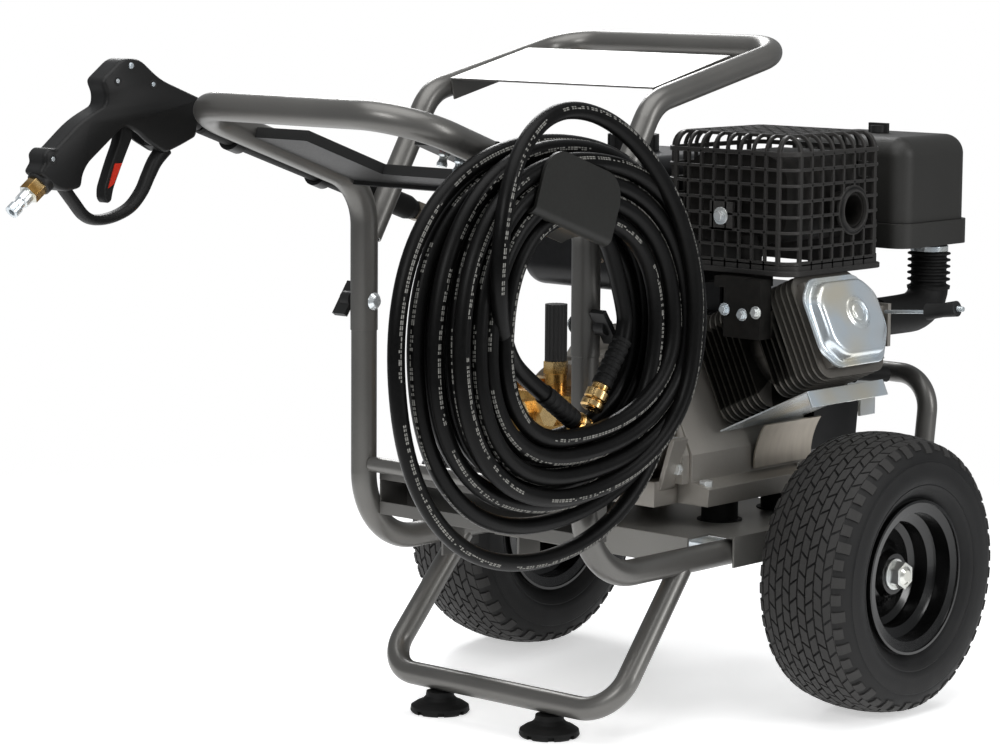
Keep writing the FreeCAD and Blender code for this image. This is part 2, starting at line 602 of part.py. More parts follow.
lp.Direction = (sk, ["N_Axis"])
lp.Length = fp * (n_fin - 1)
lp.setExpression("Length", "Dims.fin_pitch * %d" % (n_fin - 1))
lp.Occurrences = n_fin
b.Tip = lp
place(b, cyl_pos(s0), CROT)
flange = box("barrel_flange", 7.0, 112.0, 112.0, cyl_pos(79.0, -56.0, CY - 56.0), CROT)
core = cyl("cylinder_bore", "bore_radius", 120.0, cyl_pos(70.0), (CU.x, 0, CU.z))
sub(cut("cylinder_cut", fuse("cylinder_fused", [barrel, b, flange]), core), "cylinder")

# cylinder head: closed block with fins, exhaust boss towards the pump side
b = new_body("head_fins")
sk = sketch(b, "YZ_Plane")
poly(sk, [(a * 0.96, c2 * 0.96) if len(o) == 2 else (a * 0.96, c2 * 0.96, "a") for o in fin_outline for a, c2 in [o[:2]]])
p = pad(b, sk, "fin_gauge")
lp = b.newObject("PartDesign::LinearPattern", "fin_pattern")
lp.Originals = [p]
lp.Direction = (sk, ["N_Axis"])
lp.Length = fp * 8
lp.setExpression("Length", "Dims.fin_pitch * 8")
lp.Occurrences = 9
b.Tip = lp
place(b, cyl_pos(172.0), CROT)
block = box("head_block", 88.0, 104.0, 104.0, cyl_pos(164.4, -52.0, CY - 52.0), CROT)
port = cyl("exhaust_port", 14.0, 12.0, (151.0, -73.0, 454.0), (0, 1, 0))
port_flange = box("exhaust_flange", 40.0, 14.9, 32.0, (131.0, -76.8, 438.0))
intake = cyl("intake_port", 17.0, 30.0, cyl_pos(190.0, 8.0, CY + 50.0), (0, 1, 0))
sub(fuse("head_fused", [b, block, port, port_flange, intake]), "cylinder_head")

# rocker cover: pressed steel, rolled flange and an eight-sided raised crown with a round emboss
b = new_body("valve_cover")
sk = sketch(b, "YZ_Plane")


def octa(hw_, hh_, k, sh=0.0):
    return [(-hw_ + k, -hh_), (hw_ - k, -hh_), (hw_, -hh_ + k + sh), (hw_, hh_ - k), (hw_ - k, hh_), (-hw_ + k, hh_), (-hw_, hh_ - k), (-hw_, -hh_ + k)]


poly(sk, octa(66.0, 55.0, 22.0, 6.0))
p0 = pad(b, sk, 4.0)
sk = sketch(b, "YZ_Plane", 4.0)
poly(sk, octa(58.0, 47.0, 20.0, 6.0))
p1 = pad(b, sk, 14.0)
p1.TaperAngle = -12.0
sk = sketch(b, "YZ_Plane", 18.0)
circle(sk, 17.0, 6.0, 4.0)
p2 = pad(b, sk, 3.0)
p2.TaperAngle = -30.0
sk = sketch(b, "YZ_Plane", 0)
poly(sk, octa(47.0, 36.0, 16.0, 5.0))
q = pocket(b, sk, 13.0, rev=True)
place(b, cyl_pos(252.8), CROT)
sub(b, "valve_cover")

# muffler: oval pressed drum with an outlet on the cylinder side
mu = box("muffler_core", 150.0, "muffler_length", 104.0, (28.0, -58.0, 546.0))
doc.recompute()
mf = fillet("muffler_body", mu, edge_ids(mu.Shape, lambda e: e.BoundBox.YLength > 100), 34.0)
out = cyl("muffler_outlet", "outlet_radius", 24.0, (176.0, 43.0, 584.0), (1, 0, 0))
outb = cyl("muffler_outlet_bore", "Dims.outlet_radius - 3", 40.0, (170.0, 43.0, 584.0), (1, 0, 0))
down = cyl("muffler_inlet", 14.0, 58.0, (126.0, -58.5, 498.0), (0, 0, 1))
el = box("muffler_elbow", 54.0, 21.0, 70.0, (118.0, -98.0, 438.0))
el2 = box("muffler_elbow_top", 46.0, 53.0, 13.0, (104.0, -98.0, 496.0))
sub(cut("muffler_cut", fuse("muffler_fused", [mf, out, down, el, el2]), outb), "muffler")

# muffler guard: moulded lattice box with rounded edges, windows on all sides and a pipe hole
gx0, gx1, gy0, gy1, gz0, gz1 = 8.0, 201.0, -80.0, 106.0, 512.0, 676.0
gw, gp, gc = D["guard_window"], D["guard_pitch"], D["guard_corner"]
outer = box("guard_outer", gx1 - gx0, gy1 - gy0, gz1 - gz0, (gx0, gy0, gz0))
doc.recompute()
outer_f = fillet("guard_outer_round", outer, edge_ids(outer.Shape, lambda e: not (abs(e.BoundBox.ZMin - gz0) < 0.1 and e.BoundBox.ZLength < 0.1)), gc)
wl = D["guard_wall"]
inner = box("guard_inner", gx1 - gx0 - 2 * wl, gy1 - gy0 - 2 * wl, gz1 - gz0, (gx0 + wl, gy0 + wl, gz0 - wl))
doc.recompute()
inner_f = fillet("guard_inner_round", inner, edge_ids(inner.Shape, lambda e: not (e.BoundBox.ZMax < gz0 + 1)), gc - wl)
shell = cut("guard_shell", outer_f, inner_f)
doc.recompute()
tools = []
nx, ny, nz = 8, 7, 6
ox = gx0 + (gx1 - gx0 - nx * gp) / 2 + (gp - gw) / 2
oy = gy0 + (gy1 - gy0 - ny * gp) / 2 + (gp - gw) / 2
oz = gz0 + 22.0
for i in range(nx):
    for k in range(nz):
        cx, cz = ox + i * gp, oz + k * gp
        if abs(cx + gw / 2 - 122) < 24 and abs(cz + gw / 2 - 588) < 14:
            continue
        tools.append(Part.makeBox(gw, 30, gw, V(cx, gy0 - 5, cz)))
        tools.append(Part.makeBox(gw, 30, gw, V(cx, gy1 - 25, cz)))
for j in range(ny):
    for k in range(nz):
        cy_, cz = oy + j * gp, oz + k * gp
        if (cy_ + gw / 2 - 43) ** 2 + (cz + gw / 2 - 584) ** 2 < 26 ** 2:
            continue
        tools.append(Part.makeBox(30, gw, gw, V(gx1 - 25, cy_, cz)))
for i in range(nx):
    for j in range(ny):
        tools.append(Part.makeBox(gw, gw, 30, V(ox + i * gp, oy + j * gp, gz1 - 20)))
    tools.append(Part.makeBox(gw, 15, 16, V(ox + i * gp, gy0 - 4, gz1 - 18)))
for j in range(ny):
    tools.append(Part.makeBox(15, gw, 16, V(gx1 - 11, oy + j * gp, gz1 - 18)))
sh_ = shell.Shape
collar = Part.makeCylinder(26.5, 8, V(gx1 - 5, 43, 584), V(1, 0, 0))
sh_ = sh_.cut(Part.makeCompound(tools))
sh_ = sh_.fuse(collar).cut(Part.makeCylinder(22.0, 30, V(gx1 - 20, 43, 584), V(1, 0, 0)))
lipf = Part.makeBox(gx1 - gx0 + 6, gy1 - gy0 + 6, 6, V(gx0 - 3, gy0 - 3, gz0)).cut(
    Part.makeBox(gx1 - gx0 - 2 * wl, gy1 - gy0 - 2 * wl, 8, V(gx0 + wl, gy0 + wl, gz0 - 1)))
sh_ = sh_.fuse(lipf)
sub(feature("guard_shape", sh_), "muffler_guard")

# air cleaner: lower case, cover with a rolled rim, ring-shaped filter inside, wing nut on a stud
ax0, ax1, ay0, ay1 = 22.0, 200.0, 146.0, 288.0
cw, cc = D["cleaner_wall"], D["cleaner_corner"]
b = new_body("cleaner_base")
sk = sketch(b, "XY_Plane")
rect(sk, ax1 - ax0 + 6, ay1 - ay0 + 6, (ax0 + ax1) / 2, (ay0 + ay1) / 2)
p = pad(b, sk, 30.0)
doc.recompute()
fl = b.newObject("PartDesign::Fillet", "corner")
fl.Base = (p, ["Edge%d" % i for i in edge_ids(p.Shape, lambda e: e.BoundBox.ZLength > 20)])
fl.Radius = 22.0
doc.recompute()
sk = sketch(b, "XY_Plane", 30.0)
rect(sk, ax1 - ax0 - 12, ay1 - ay0 - 12, (ax0 + ax1) / 2, (ay0 + ay1) / 2)
pocket(b, sk, 24.0)
place(b, (0, 0, 530.0))
sub(b, "air_cleaner_base")

co = box("cleaner_outer", ax1 - ax0, ay1 - ay0, 104.0, (ax0, ay0, 560.2))
doc.recompute()
cof = fillet("cleaner_outer_round", co, edge_ids(co.Shape, lambda e: not (e.BoundBox.ZMax < 561)), cc)
ci = box("cleaner_inner", ax1 - ax0 - 2 * cw, ay1 - ay0 - 2 * cw, 110.0, (ax0 + cw, ay0 + cw, 560.2 - 8.5))
doc.recompute()
cif = fillet("cleaner_inner_round", ci, edge_ids(ci.Shape, lambda e: not (e.BoundBox.ZMax < 561)), cc - cw)
stud_hole = cyl("cleaner_stud_hole", 3.6, 30.0, (111.0, 217.0, 645.0))
sub(cut("cleaner_cover", cut("cleaner_cover_shell", cof, cif), stud_hole), "air_cleaner_cover")

fo = box("filter_outer", 96.0, 84.0, 84.0, (63.0, 175.0, 554.4))
doc.recompute()
fo2 = fillet("filter_outer_round", fo, edge_ids(fo.Shape, lambda e: e.BoundBox.ZLength > 50), 30.0)
fi = cyl("filter_bore", 24.0, 100.0, (111.0, 217.0, 550.0))
stud = cyl("filter_stud", 3.0, 116.0, (111.0, 217.0, 554.4))
sub(group("filter_group", [cut("filter_ring", fo2, fi), stud]), "air_filter")

b = new_body("cleaner_knob")
sk = sketch(b, "XY_Plane")
circle(sk, 10.0)
pad(b, sk, 9.0)
sk = sketch(b, "XY_Plane")
rect(sk, 28.0, 5.0)
pad(b, sk, 12.0)
sk = sketch(b, "XY_Plane")
circle(sk, 3.1)
pocket(b, sk, 6.0, rev=True)
place(b, (111.0, 217.0, 664.6))
sub(b, "air_cleaner_knob")

# fuel tank: two pressed halves with a seam, filler neck and cap
tx0, tx1, ty0, ty1, tz0, tz1 = -196.0, -8.0, -112.0, 140.0, 478.0, 640.0
to = box("tank_outer", tx1 - tx0, ty1 - ty0, tz1 - tz0, (tx0, ty0, tz0))
doc.recompute()
tof = fillet("tank_outer_round", to, edge_ids(to.Shape, lambda e: True), D["tank_corner"])
ti = box("tank_inner", tx1 - tx0 - 4, ty1 - ty0 - 4, tz1 - tz0 - 4, (tx0 + 2, ty0 + 2, tz0 + 2))
doc.recompute()
tif = fillet("tank_inner_round", ti, edge_ids(ti.Shape, lambda e: True), D["tank_corner"] - 2)
seam = box("tank_seam", tx1 - tx0 + 10, ty1 - ty0 + 10, 3.0, (tx0 - 5, ty0 - 5, 556.0))
doc.recompute()
seamf = fillet("tank_seam_round", seam, edge_ids(seam.Shape, lambda e: e.BoundBox.ZLength > 2.5 and e.BoundBox.XLength < 1 and e.BoundBox.YLength < 1), D["tank_corner"])
neck = cyl("tank_neck", 24.0, 12.0, (-120.0, 20.0, 636.0))
nb = cyl("tank_neck_bore", 21.0, 40.0, (-120.0, 20.0, 620.0))
legs = [box("tank_leg_%d" % i, 26.0, 4.0, 48.0, (lx, lyy, 441.0)) for i, (lx, lyy) in enumerate(((-42.0, -96.0), (-42.0, 66.0)))]
feet_ = [box("tank_tab_%d" % i, 26.0, 24.0, 3.0, (-42.0, lyy, 440.2)) for i, lyy in enumerate((-96.0, 46.0))]
tank = cut("tank_hollow", fuse("tank_fused", [tof, seamf, neck] + legs + feet_), fuse("tank_voids", [tif, nb]))
sub(tank, "fuel_tank")

b = new_body("fuel_cap")
sk = sketch(b, "XY_Plane")
circle(sk, "cap_radius")
pad(b, sk, "cap_height")
sk = sketch(b, "XY_Plane")
circle(sk, 24.3)
pocket(b, sk, 14.0, rev=True)
sk = sketch(b, "XY_Plane", D["cap_height"])
circle(sk, 3.4, D["cap_radius"] + 0.6, 0)
p = pocket(b, sk, D["cap_height"])
pp = b.newObject("PartDesign::PolarPattern", "grips")
pp.Originals = [p]
pp.Axis = (sk, ["N_Axis"])
pp.Angle = 360.0
pp.Occurrences = 12
b.Tip = pp
place(b, (-120.0, 20.0, 640.4))
sub(b, "fuel_cap")

# blower housing: open towards the engine, round eye for the starter
b = new_body("blower")
sk = sketch(b, "XZ_Plane")
bh = [(-104, 248), (84, 248), (106, 280), (112, 352), (110, 424, "a"), (86, 474), (-40, 474), (-92, 444, "a"), (-118, 380), (-118, 290)]
poly(sk, bh)
pad(b, sk, 92.0, rev=True)
sk = sketch(b, "XZ_Plane")
bi = [(-102.5, 251), (82.5, 251), (103, 281), (109, 352), (107, 423, "a"), (84.5, 471), (-39, 471), (-90, 441.5, "a"), (-115, 379), (-115, 291)]
poly(sk, bi)
pocket(b, sk, 89.0)
sk = sketch(b, "XZ_Plane")
circle(sk, 74.0, 0, CZ)
pocket(b, sk, 200.0, mid=True)
place(b, (0, 96.0, 0))
sub(b, "blower_housing")

# recoil starter: shallow dome with slots, outboard of the blower housing
b = new_body("recoil")
sk = sketch(b, "XY_Plane")
poly(sk, [(0, 36), (40, 36), (72, 26), (84, 12), (86, 0), (96, 0), (96, 2.5), (88.5, 2.5), (86.5, 14), (74, 28.4), (41, 38.6), (0, 38.6)])
revolve(b, sk, "V_Axis")
sk2 = sketch(b, "XZ_Plane", 0)
poly(sk2, [(48, -4), (76, -4), (76, 4), (48, 4)])
p = pocket(b, sk2, 80.0, mid=True)
pp = b.newObject("PartDesign::PolarPattern", "slots")
pp.Originals = [p]
pp.Axis = (sk, ["V_Axis"])
pp.Angle = 360.0
pp.Occurrences = 10
b.Tip = pp
place(b, (0, 188.2, CZ), R0)
exit_boss = cyl("rope_exit", 9.0, 14.0, (-76.0, 206.0, CZ + 42.0), (-0.8, 0, 0.6))
sub(fuse("recoil_fused", [b, exit_boss]), "recoil_starter")

gpos = V(-76.0, 206.0, CZ + 42.0) + V(-0.8, 0, 0.6) * 14.6
b = new_body("starter_grip")
sk = sketch(b, "XY_Plane")
rect(sk, 15.0, "grip_length")
pad(b, sk, 18.0)
doc.recompute()
tip = b.Tip
fl = b.newObject("PartDesign::Fillet", "round")
fl.Base = (tip, ["Edge%d" % i for i in edge_ids(tip.Shape, lambda e: e.BoundBox.ZLength > 10)])
fl.Radius = 6.5
place(b, (gpos.x, gpos.y, gpos.z), along((-0.8, 0, 0.6)) * about((0, 0, 1), 90.0))
sub(b, "starter_grip")

# carburettor with bowl and flange, on the intake port
cb = cyl_pos(190.0, 8.0, CY + 80.5)
body_c = box("carb_body", 44.0, 52.0, 46.0, (cb[0] - 22.0, cb[1], cb[2] - 23.0))
bowl = cyl("carb_bowl", 19.0, 26.0, (cb[0], cb[1] + 26.0, cb[2] - 48.0))
fl1 = box("carb_flange", 58.0, 6.0, 52.0, (cb[0] - 29.0, cb[1] + 52.0, cb[2] - 26.0))
spindle = cyl("carb_spindle", 3.2, 66.0, (cb[0] + 10.0, cb[1] + 20.0, cb[2] - 20.0), (0, 0, 1))
sub(fuse("carb_fused", [body_c, bowl, fl1]), "carburettor")

# intake elbow: corrugated boot from the carburettor flange up into the air cleaner
b = new_body("boot")
sk = sketch(b, "XY_Plane")
pts_b = [(0, 0), (27, 0), (27, 5)]
yb = 5.0
for k in range(5):
    pts_b += [(22, yb + 1.5), (22, yb + 4.5), (26, yb + 6.0), (26, yb + 8.0)]
    yb += 8.0
pts_b += [(22, yb + 1.5), (22, 56.0), (0, 56.0)]
poly(sk, pts_b)
revolve(b, sk, "V_Axis")
place(b, (cb[0] + 6.0, 240.0, 473.6), about((1, 0, 0), 90))
elbow = box("boot_elbow", 50.0, 136.0, 54.6, (cb[0] - 19.0, cb[1] + 58.2, cb[2] - 20.0))
sub(fuse("boot_fused", [b, elbow]), "intake_boot")

# spark plug with its cap
pd = V(0.35, 0.93, -0.1).normalize()
pp0 = V(*cyl_pos(186.0, -44.0, CY + 40.0))


def plug_at(t_):
    q_ = pp0 + pd * t_
    return (q_.x, q_.y, q_.z)


plug = cyl("plug_thread", 7.0, 26.0, plug_at(0.0), (pd.x, pd.y, pd.z))
plug2 = prism6("plug_hex", 20.8, 10.0, plug_at(20.0), (pd.x, pd.y, pd.z))
plug3 = cyl("plug_cap", 9.0, 46.0, plug_at(29.0), (pd.x, pd.y, pd.z))
sub(fuse("plug_fused", [plug, plug2, plug3]), "spark_plug")

# isolators between platform and engine foot
iso = [cyl("isolator_%d" % i, "isolator_radius", "isolator_height", (x, y, pt + 1.2)) for i, (x, y) in
       enumerate(((100.0, -76.0), (100.0, 40.0), (-96.0, -76.0), (-96.0, 40.0)))]
plates = [cyl("isolator_plate_%d" % i, 27.0, 1.2, (x, y, pt)) for i, (x, y) in
          enumerate(((100.0, -76.0), (100.0, 40.0), (-96.0, -76.0), (-96.0, 40.0)))]
sub(group("isolators_group", [fuse("iso_%d" % i, [a, c_]) for i, (a, c_) in enumerate(zip(iso, plates))]), "isolators")

# zinc-plated guide plate under the cylinder with its hanging hook
b = new_body("guide_plate")
sk = sketch(b, "XZ_Plane")
poly(sk, [(84, -72.5), (222, -72.5), (222, -90), (224, -90), (224, -70.5), (84, -70.5)])
pad(b, sk, 150.0, mid=True)
place(b, (0, CY, CZ), CROT)
hook = box("guide_hook", 4.0, 30.0, 46.0, (178.0, 92.0, 330.0))
tab = box("guide_tab", 4.0, 34.0, 26.0, (178.0, 64.0, 350.0))
sub(fuse("guide_fused", [b, tab, hook]), "cylinder_guide_plate")

# lower air deflector: curved sheet beside the crankcase
b = new_body("deflector")
sk = sketch(b, "XZ_Plane")
poly(sk, [(111, 272), (114, 300, "a"), (126, 326), (128, 325), (116.3, 299.5, "a"), (113.4, 272)])
pad(b, sk, 112.0, rev=True)
place(b, (0, -26.0, 0))
sub(b, "air_deflector")

# crankshaft: main journal, two webs, pin, tapered end and the flywheel key seat
sh1 = cyl("crank_main_a", "crank_radius", 190.0, (0, -214.0, CZ), (0, 1, 0))
sh2 = cyl("crank_main_b", "crank_radius", 84.0, (0, 14.0, CZ), (0, 1, 0))
w1 = box("crank_web_a", 46.0, 16.0, 96.0, (-23.0, -40.0, CZ - 42.0))
w2 = box("crank_web_b", 46.0, 16.0, 96.0, (-23.0, 4.0, CZ - 42.0))
pin = cyl("crank_pin", 17.0, 32.0, (0, -26.0, CZ + 32.0), (0, 1, 0))
sh3 = cyl("crank_nose", 12.0, 50.0, (0, 96.0, CZ), (0, 1, 0))
sub(fuse("crank_fused", [sh1, sh2, w1, w2, pin, sh3]), "crankshaft")

b = new_body("flywheel")
sk = sketch(b, "XY_Plane")
fr_ = D["flywheel_radius"]
poly(sk, [(12.02, 0), (30, 0), (34, 10), (fr_ - 12, 14), (fr_ - 10, 0), (fr_, 0), (fr_, 24), (34, 22), (30, 40), (12.02, 40)])
revolve(b, sk, "V_Axis")
sk2 = sketch(b, "XY_Plane", 0)
poly(sk2, [(42, 20), (fr_ - 8, 20), (fr_ - 8, 40), (48, 38)])
p = pad(b, sk2, 4.0, mid=True)
pp = b.newObject("PartDesign::PolarPattern", "fan_blades")
pp.Originals = [p]
pp.Axis = (sk, ["V_Axis"])
pp.Angle = 360.0
pp.Occurrences = 14
b.Tip = pp
place(b, (0, 104.0, CZ))
sub(b, "flywheel")

# throttle lever above the carburettor side of the blower housing
b = new_body("throttle")
sk = sketch(b, "XY_Plane")
poly(sk, [(-9, -9), (9, -9), (9, 20), (5, 66), (0, 70, "a"), (-5, 66), (-9, 20)])
pad(b, sk, "lever_gauge")
sk = sketch(b, "XY_Plane")
circle(sk, 3.3)
pocket(b, sk, 20.0, mid=True)
place(b, (56.0, 118.0, 474.2))
sub(b, "throttle_lever")

# ================================================================ PUMP
PY = -185.6
PH = PY + 92.0 - D["pump_length"]
UX = 14.0
pb = cyl("pump_case", "pump_radius", "pump_length", (0, PY, CZ), (0, -1, 0))
pfl = box("pump_flange", 128.0, 12.0, 112.0, (-64.0, PY - 12.0, CZ - 56.0))
pcav = cyl("pump_cavity", 44.0, "Dims.pump_length - 10", (0, PY + 1, CZ), (0, -1, 0))
sub(cut("pump_cut", fuse("pump_fused", [pb, pfl]), pcav), "pump_body")

hd = box("pump_head_block", "pump_head_width", "pump_head_depth", "pump_head_height", (-66.0, PH - 92.2 - 66.0, CZ - 31.0))
caps = [prism6("valve_cap_%d" % i, 24.0, 12.0, (cx_, PH - 120.0, CZ + 30.0)) for i, cx_ in enumerate((-44.0, -16.0))]
caps += [prism6("valve_cap_f%d" % i, 24.0, 10.0, (cx_, PH - 158.0, CZ + 8.0), (0, -1, 0)) for i, cx_ in enumerate((-44.0, 0.0, 44.0))]
neck1 = cyl("unloader_neck", 13.0, 22.0, (UX, PH - 122.0, CZ + 30.0))
hexu = prism6("unloader_nut", 26.0, 14.0, (UX, PH - 122.0, CZ + 50.0))
outl = cyl("outlet_boss", 12.0, 26.0, (60.0, PH - 130.0, CZ + 2.0), (1, 0, 0))
inl = cyl("inlet_boss", 15.0, 28.0, (-60.0, PH - 130.0, CZ + 2.0), (-1, 0, 0))
ob = cyl("outlet_bore", "outlet_bore_radius", 30.0, (58.0, PH - 130.0, CZ + 2.0), (1, 0, 0))
ib = cyl("inlet_bore", "inlet_bore_radius", 30.0, (-60.0, PH - 130.0, CZ + 2.0), (-1, 0, 0))
barb = cyl("relief_barb", 5.0, 26.0, (48.0, PH - 106.0, CZ + 30.0))
sub(cut("pump_head_cut", fuse("pump_head_fused", [hd, neck1, hexu, outl, inl, barb] + caps), fuse("pump_bores", [ob, ib])), "pump_head")

b = new_body("unloader_knob")
sk = sketch(b, "XY_Plane")
circle(sk, "knob_radius")
pad(b, sk, "knob_height")
sk = sketch(b, "XY_Plane", D["knob_height"])
circle(sk, 1.3, D["knob_radius"] + 0.3, 0)
p = pocket(b, sk, D["knob_height"])
pp = b.newObject("PartDesign::PolarPattern", "flutes")
pp.Originals = [p]
pp.Axis = (sk, ["N_Axis"])
pp.Angle = 360.0
pp.Occurrences = 18
b.Tip = pp
place(b, (UX, PH - 122.0, CZ + 64.3))
sub(b, "unloader_knob")

# ================================================================ GUN AND LANCE
b = new_body("gun")
sk = sketch(b, "YZ_Plane")
outer_g = [(-778, 746), (-747, 769), (-723, 768), (-693, 745), (-634, 722.6), (-641, 680), (-664, 671), (-684, 655), (-694, 632),
           (-721, 607), (-751, 593), (-780, 589), (-798, 594), (-833, 634), (-844, 633), (-866, 651), (-858, 662), (-860, 670), (-853, 677),
           (-844, 675), (-805, 704), (-771, 720), (-771, 730), (-776, 740)]
inner_g = [(-745, 697), (-798, 658), (-806, 647), (-807, 632), (-796, 618), (-783, 602), (-760, 601), (-737, 614), (-713, 636),
           (-707, 656), (-713, 676), (-724, 686), (-734, 696)]
poly(sk, outer_g)
poly(sk, inner_g)
pad(b, sk, "gun_width", mid=True)
place(b, (D["gun_x"], 0, 0))
# the hand guard strap is narrower than the grip and the head
gunw, guw = D["gun_width"], D["guard_width"]
doc.recompute()
cutters = []
strap_zone = Part.Face(Part.makePolygon([V(0, *p) for p in ((-660, 668), (-712, 668), (-730, 640), (-760, 606), (-800, 612), (-829, 628), (-829, 560), (-640, 560), (-640, 668), (-660, 668))]))
for sgn in (-1, 1):
    x_in = D["gun_x"] + sgn * guw / 2
    vec = V(sgn * 20.0, 0, 0)
    f = strap_zone.copy()
    f.translate(V(x_in, 0, 0))
    cutters.append(f.extrude(vec))
gs = b.Shape.copy()
gs = gs.cut(Part.makeCompound(cutters))
edges_v = [e for e in gs.Edges if e.BoundBox.XLength < 0.5 and e.BoundBox.YMin > -850 and e.Length > 14 and abs(abs(e.BoundBox.XMin - D["gun_x"]) - gunw / 2) < 0.3]
try:
    g2 = gs.makeFillet(4.0, edges_v)
    if g2.isValid() and len(g2.Solids) == 1:
        gs = g2
    else:
        print("gun fillet skipped")
except Exception as err:
    print("gun fillet failed", err)
slot = Part.makeBox(D["trigger_width"] + 1.6, 64, 34, V(D["gun_x"] - (D["trigger_width"] + 1.6) / 2, -764, 681))
slot.rotate(V(D["gun_x"], -735, 698), V(1, 0, 0), 0)
gs = gs.cut(slot).cut(Part.makeCylinder(2.6, 60.0, V(D["gun_x"] - 30, -736, 700), V(1, 0, 0)))
barrel_nut = Part.makeCylinder(13.0, 14.0, V(*lance_at(-4)), LU)
gs = gs.fuse(barrel_nut).cut(Part.makeCylinder(D["lance_radius"] + 0.05, 60.0, V(*lance_at(-40)), LU))
sub(feature("gun_shape", gs), "gun_body")

# trigger: curved blade hanging from its pin
b = new_body("trigger")
sk = sketch(b, "YZ_Plane")
poly(sk, [(-744, 701), (-736, 707, "a"), (-727, 701), (-727, 684), (-741, 660), (-757, 628), (-760, 616), (-765, 612, "a"), (-770, 617), (-770, 628), (-758, 658), (-747, 680)])
pad(b, sk, "trigger_width", mid=True)
place(b, (D["gun_x"], 0, 0))
doc.recompute()
tip = b.Tip
fl = b.newObject("PartDesign::Fillet", "round")
fl.Base = (tip, ["Edge%d" % i for i in edge_ids(tip.Shape, lambda e: e.BoundBox.XLength < 0.2 and e.BoundBox.ZMax < 690)])
fl.Radius = 2.0
pin_t = cyl("trigger_pin", 2.5, 27.0, (D["gun_x"] - 13.5, -736.0, 700.0), (1, 0, 0))
sub(fuse("trigger_with_pin", [b, pin_t]), "gun_trigger")

# gun inlet: swivel nut and quick-connect plug under the grip
gi = V(D["gun_x"], -853.0, 640.5)
gd = V(0, -0.80, -0.60)


def gpt(t_):
    q_ = gi + gd * t_
    return (q_.x, q_.y, q_.z)


i1 = prism6("inlet_nut", 21.0, 22.0, gpt(0.0), (0, -0.80, -0.60))
i2 = cyl("inlet_stem", 8.0, 14.0, gpt(20.0), (0, -0.80, -0.60))
i3 = cyl("inlet_plug", 6.0, 12.0, gpt(32.0), (0, -0.80, -0.60))
i4 = cyl("inlet_plug_head", 7.6, 9.0, gpt(42.0), (0, -0.80, -0.60))
i5 = cyl("inlet_bore_gun", 4.0, 60.0, gpt(10.0), (0, -0.80, -0.60))
sub(cut("inlet_cut", fuse("inlet_fused", [i1, i2, i3, i4]), i5), "gun_inlet")

tube_l = cyl("lance_rod", "lance_radius", 668.0, lance_at(0.0), (LU.x, LU.y, LU.z))
coup = cyl("lance_coupler", 11.0, 26.0, lance_at(664.0), (LU.x, LU.y, LU.z))
coup2 = cyl("lance_coupler_collar", 13.0, 12.0, lance_at(670.0), (LU.x, LU.y, LU.z))
nutl = prism6("lance_nut", 22.0, 12.0, lance_at(378.5), (LU.x, LU.y, LU.z))
lb_ = cyl("lance_bore", "lance_bore_radius", 710.0, lance_at(-1.0), (LU.x, LU.y, LU.z))
lb2 = cyl("lance_socket", 6.0, 18.0, lance_at(673.0), (LU.x, LU.y, LU.z))
sub(cut("lance_cut", fuse("lance_fused", [tube_l, coup, coup2, nutl]), fuse("lance_bores", [lb_, lb2])), "lance_tube")

b = new_body("lance_grip")
sk = sketch(b, "XY_Plane")
lg = D["lance_grip_radius"]
pts_g = [(D["lance_radius"] + 0.1, 12.0), (12.5, 12.0), (lg, 16.0), (lg, 40.0)]
yy = 40.0
pts_g += [(lg, 300.0), (lg - 1.5, 300.0), (lg - 1.5, 306.0), (lg, 306.0), (lg, 366.0), (lg - 2, 374.0), (lg - 3.5, 377.0), (D["lance_radius"] + 0.1, 377.0)]
poly(sk, pts_g)
revolve(b, sk, "V_Axis")
place(b, lance_at(0.0), FreeCAD.Rotation(V(0, 1, 0), LU))
sub(b, "lance_grip")

# ================================================================ WING KNOBS AND BOLTS
for side, sx in (("left", -1), ("right", 1)):
    b = new_body("knob_" + side)
    sk = sketch(b, "XY_Plane")
    circle(sk, 9.0)
    pad(b, sk, 14.0)
    sk = sketch(b, "XY_Plane")
    rect(sk, "wing_knob_length", 6.0)
    pad(b, sk, 20.0)
    sk = sketch(b, "XY_Plane")
    circle(sk, 4.05)
    pocket(b, sk, 12.0, rev=True)
    place(b, (sx * (X0 + 17.6), UY, D["clamp_z"]), along((sx, 0, 0)) * about((0, 0, 1), 35.0))
    sub(b, "handle_knob_" + side)

bolts = []


def hexbolt(n, pos, direction, flats=13.0, head=6.0, shank=12.0, rad=4.0):
    d_ = V(*direction).normalize()
    h_ = prism6("bolt_head_%s" % n, flats, head, pos, (d_.x, d_.y, d_.z))
    q_ = V(*pos) - d_ * shank
    k_ = cyl("bolt_shank_%s" % n, rad, shank + 0.5, (q_.x, q_.y, q_.z), (d_.x, d_.y, d_.z))
    bolts.append(fuse("bolt_%s" % n, [h_, k_]))


for n, sx in enumerate((-1, 1)):
    dome = cone("clamp_head_%d" % n, 10.5, 6.0, 5.0, (sx * (X0 - 16.3), UY, D["clamp_z"]), (-sx, 0, 0))
    rod = cyl("clamp_rod_%d" % n, 4.0, 46.0, (sx * (X0 - 17.0), UY, D["clamp_z"]), (sx, 0, 0))
    bolts.append(fuse("clamp_bolt_%d" % n, [dome, rod]))
for n, (x, y, zz) in enumerate(((120.0, -128.0, eb + fg), (120.0, 62.0, eb + fg), (-116.0, -128.0, eb + fg), (-116.0, 62.0, eb + fg))):
    hexbolt("foot%d" % n, (x, y, zz + 0.0), (0, 0, 1), 15.0, 8.0, 14.0, 4.0)
for n, (x, zz) in enumerate(((96.0, 316.0), (98.0, 284.0), (30.0, 426.0), (-40.0, 424.0), (-92.0, 380.0), (-98.0, 290.0))):
    hexbolt("cover%d" % n, (x, -152.2, zz), (0, -1, 0), 12.0, 6.0, 10.0, 3.0)
sub(group("bolts_group", bolts), "bolts")

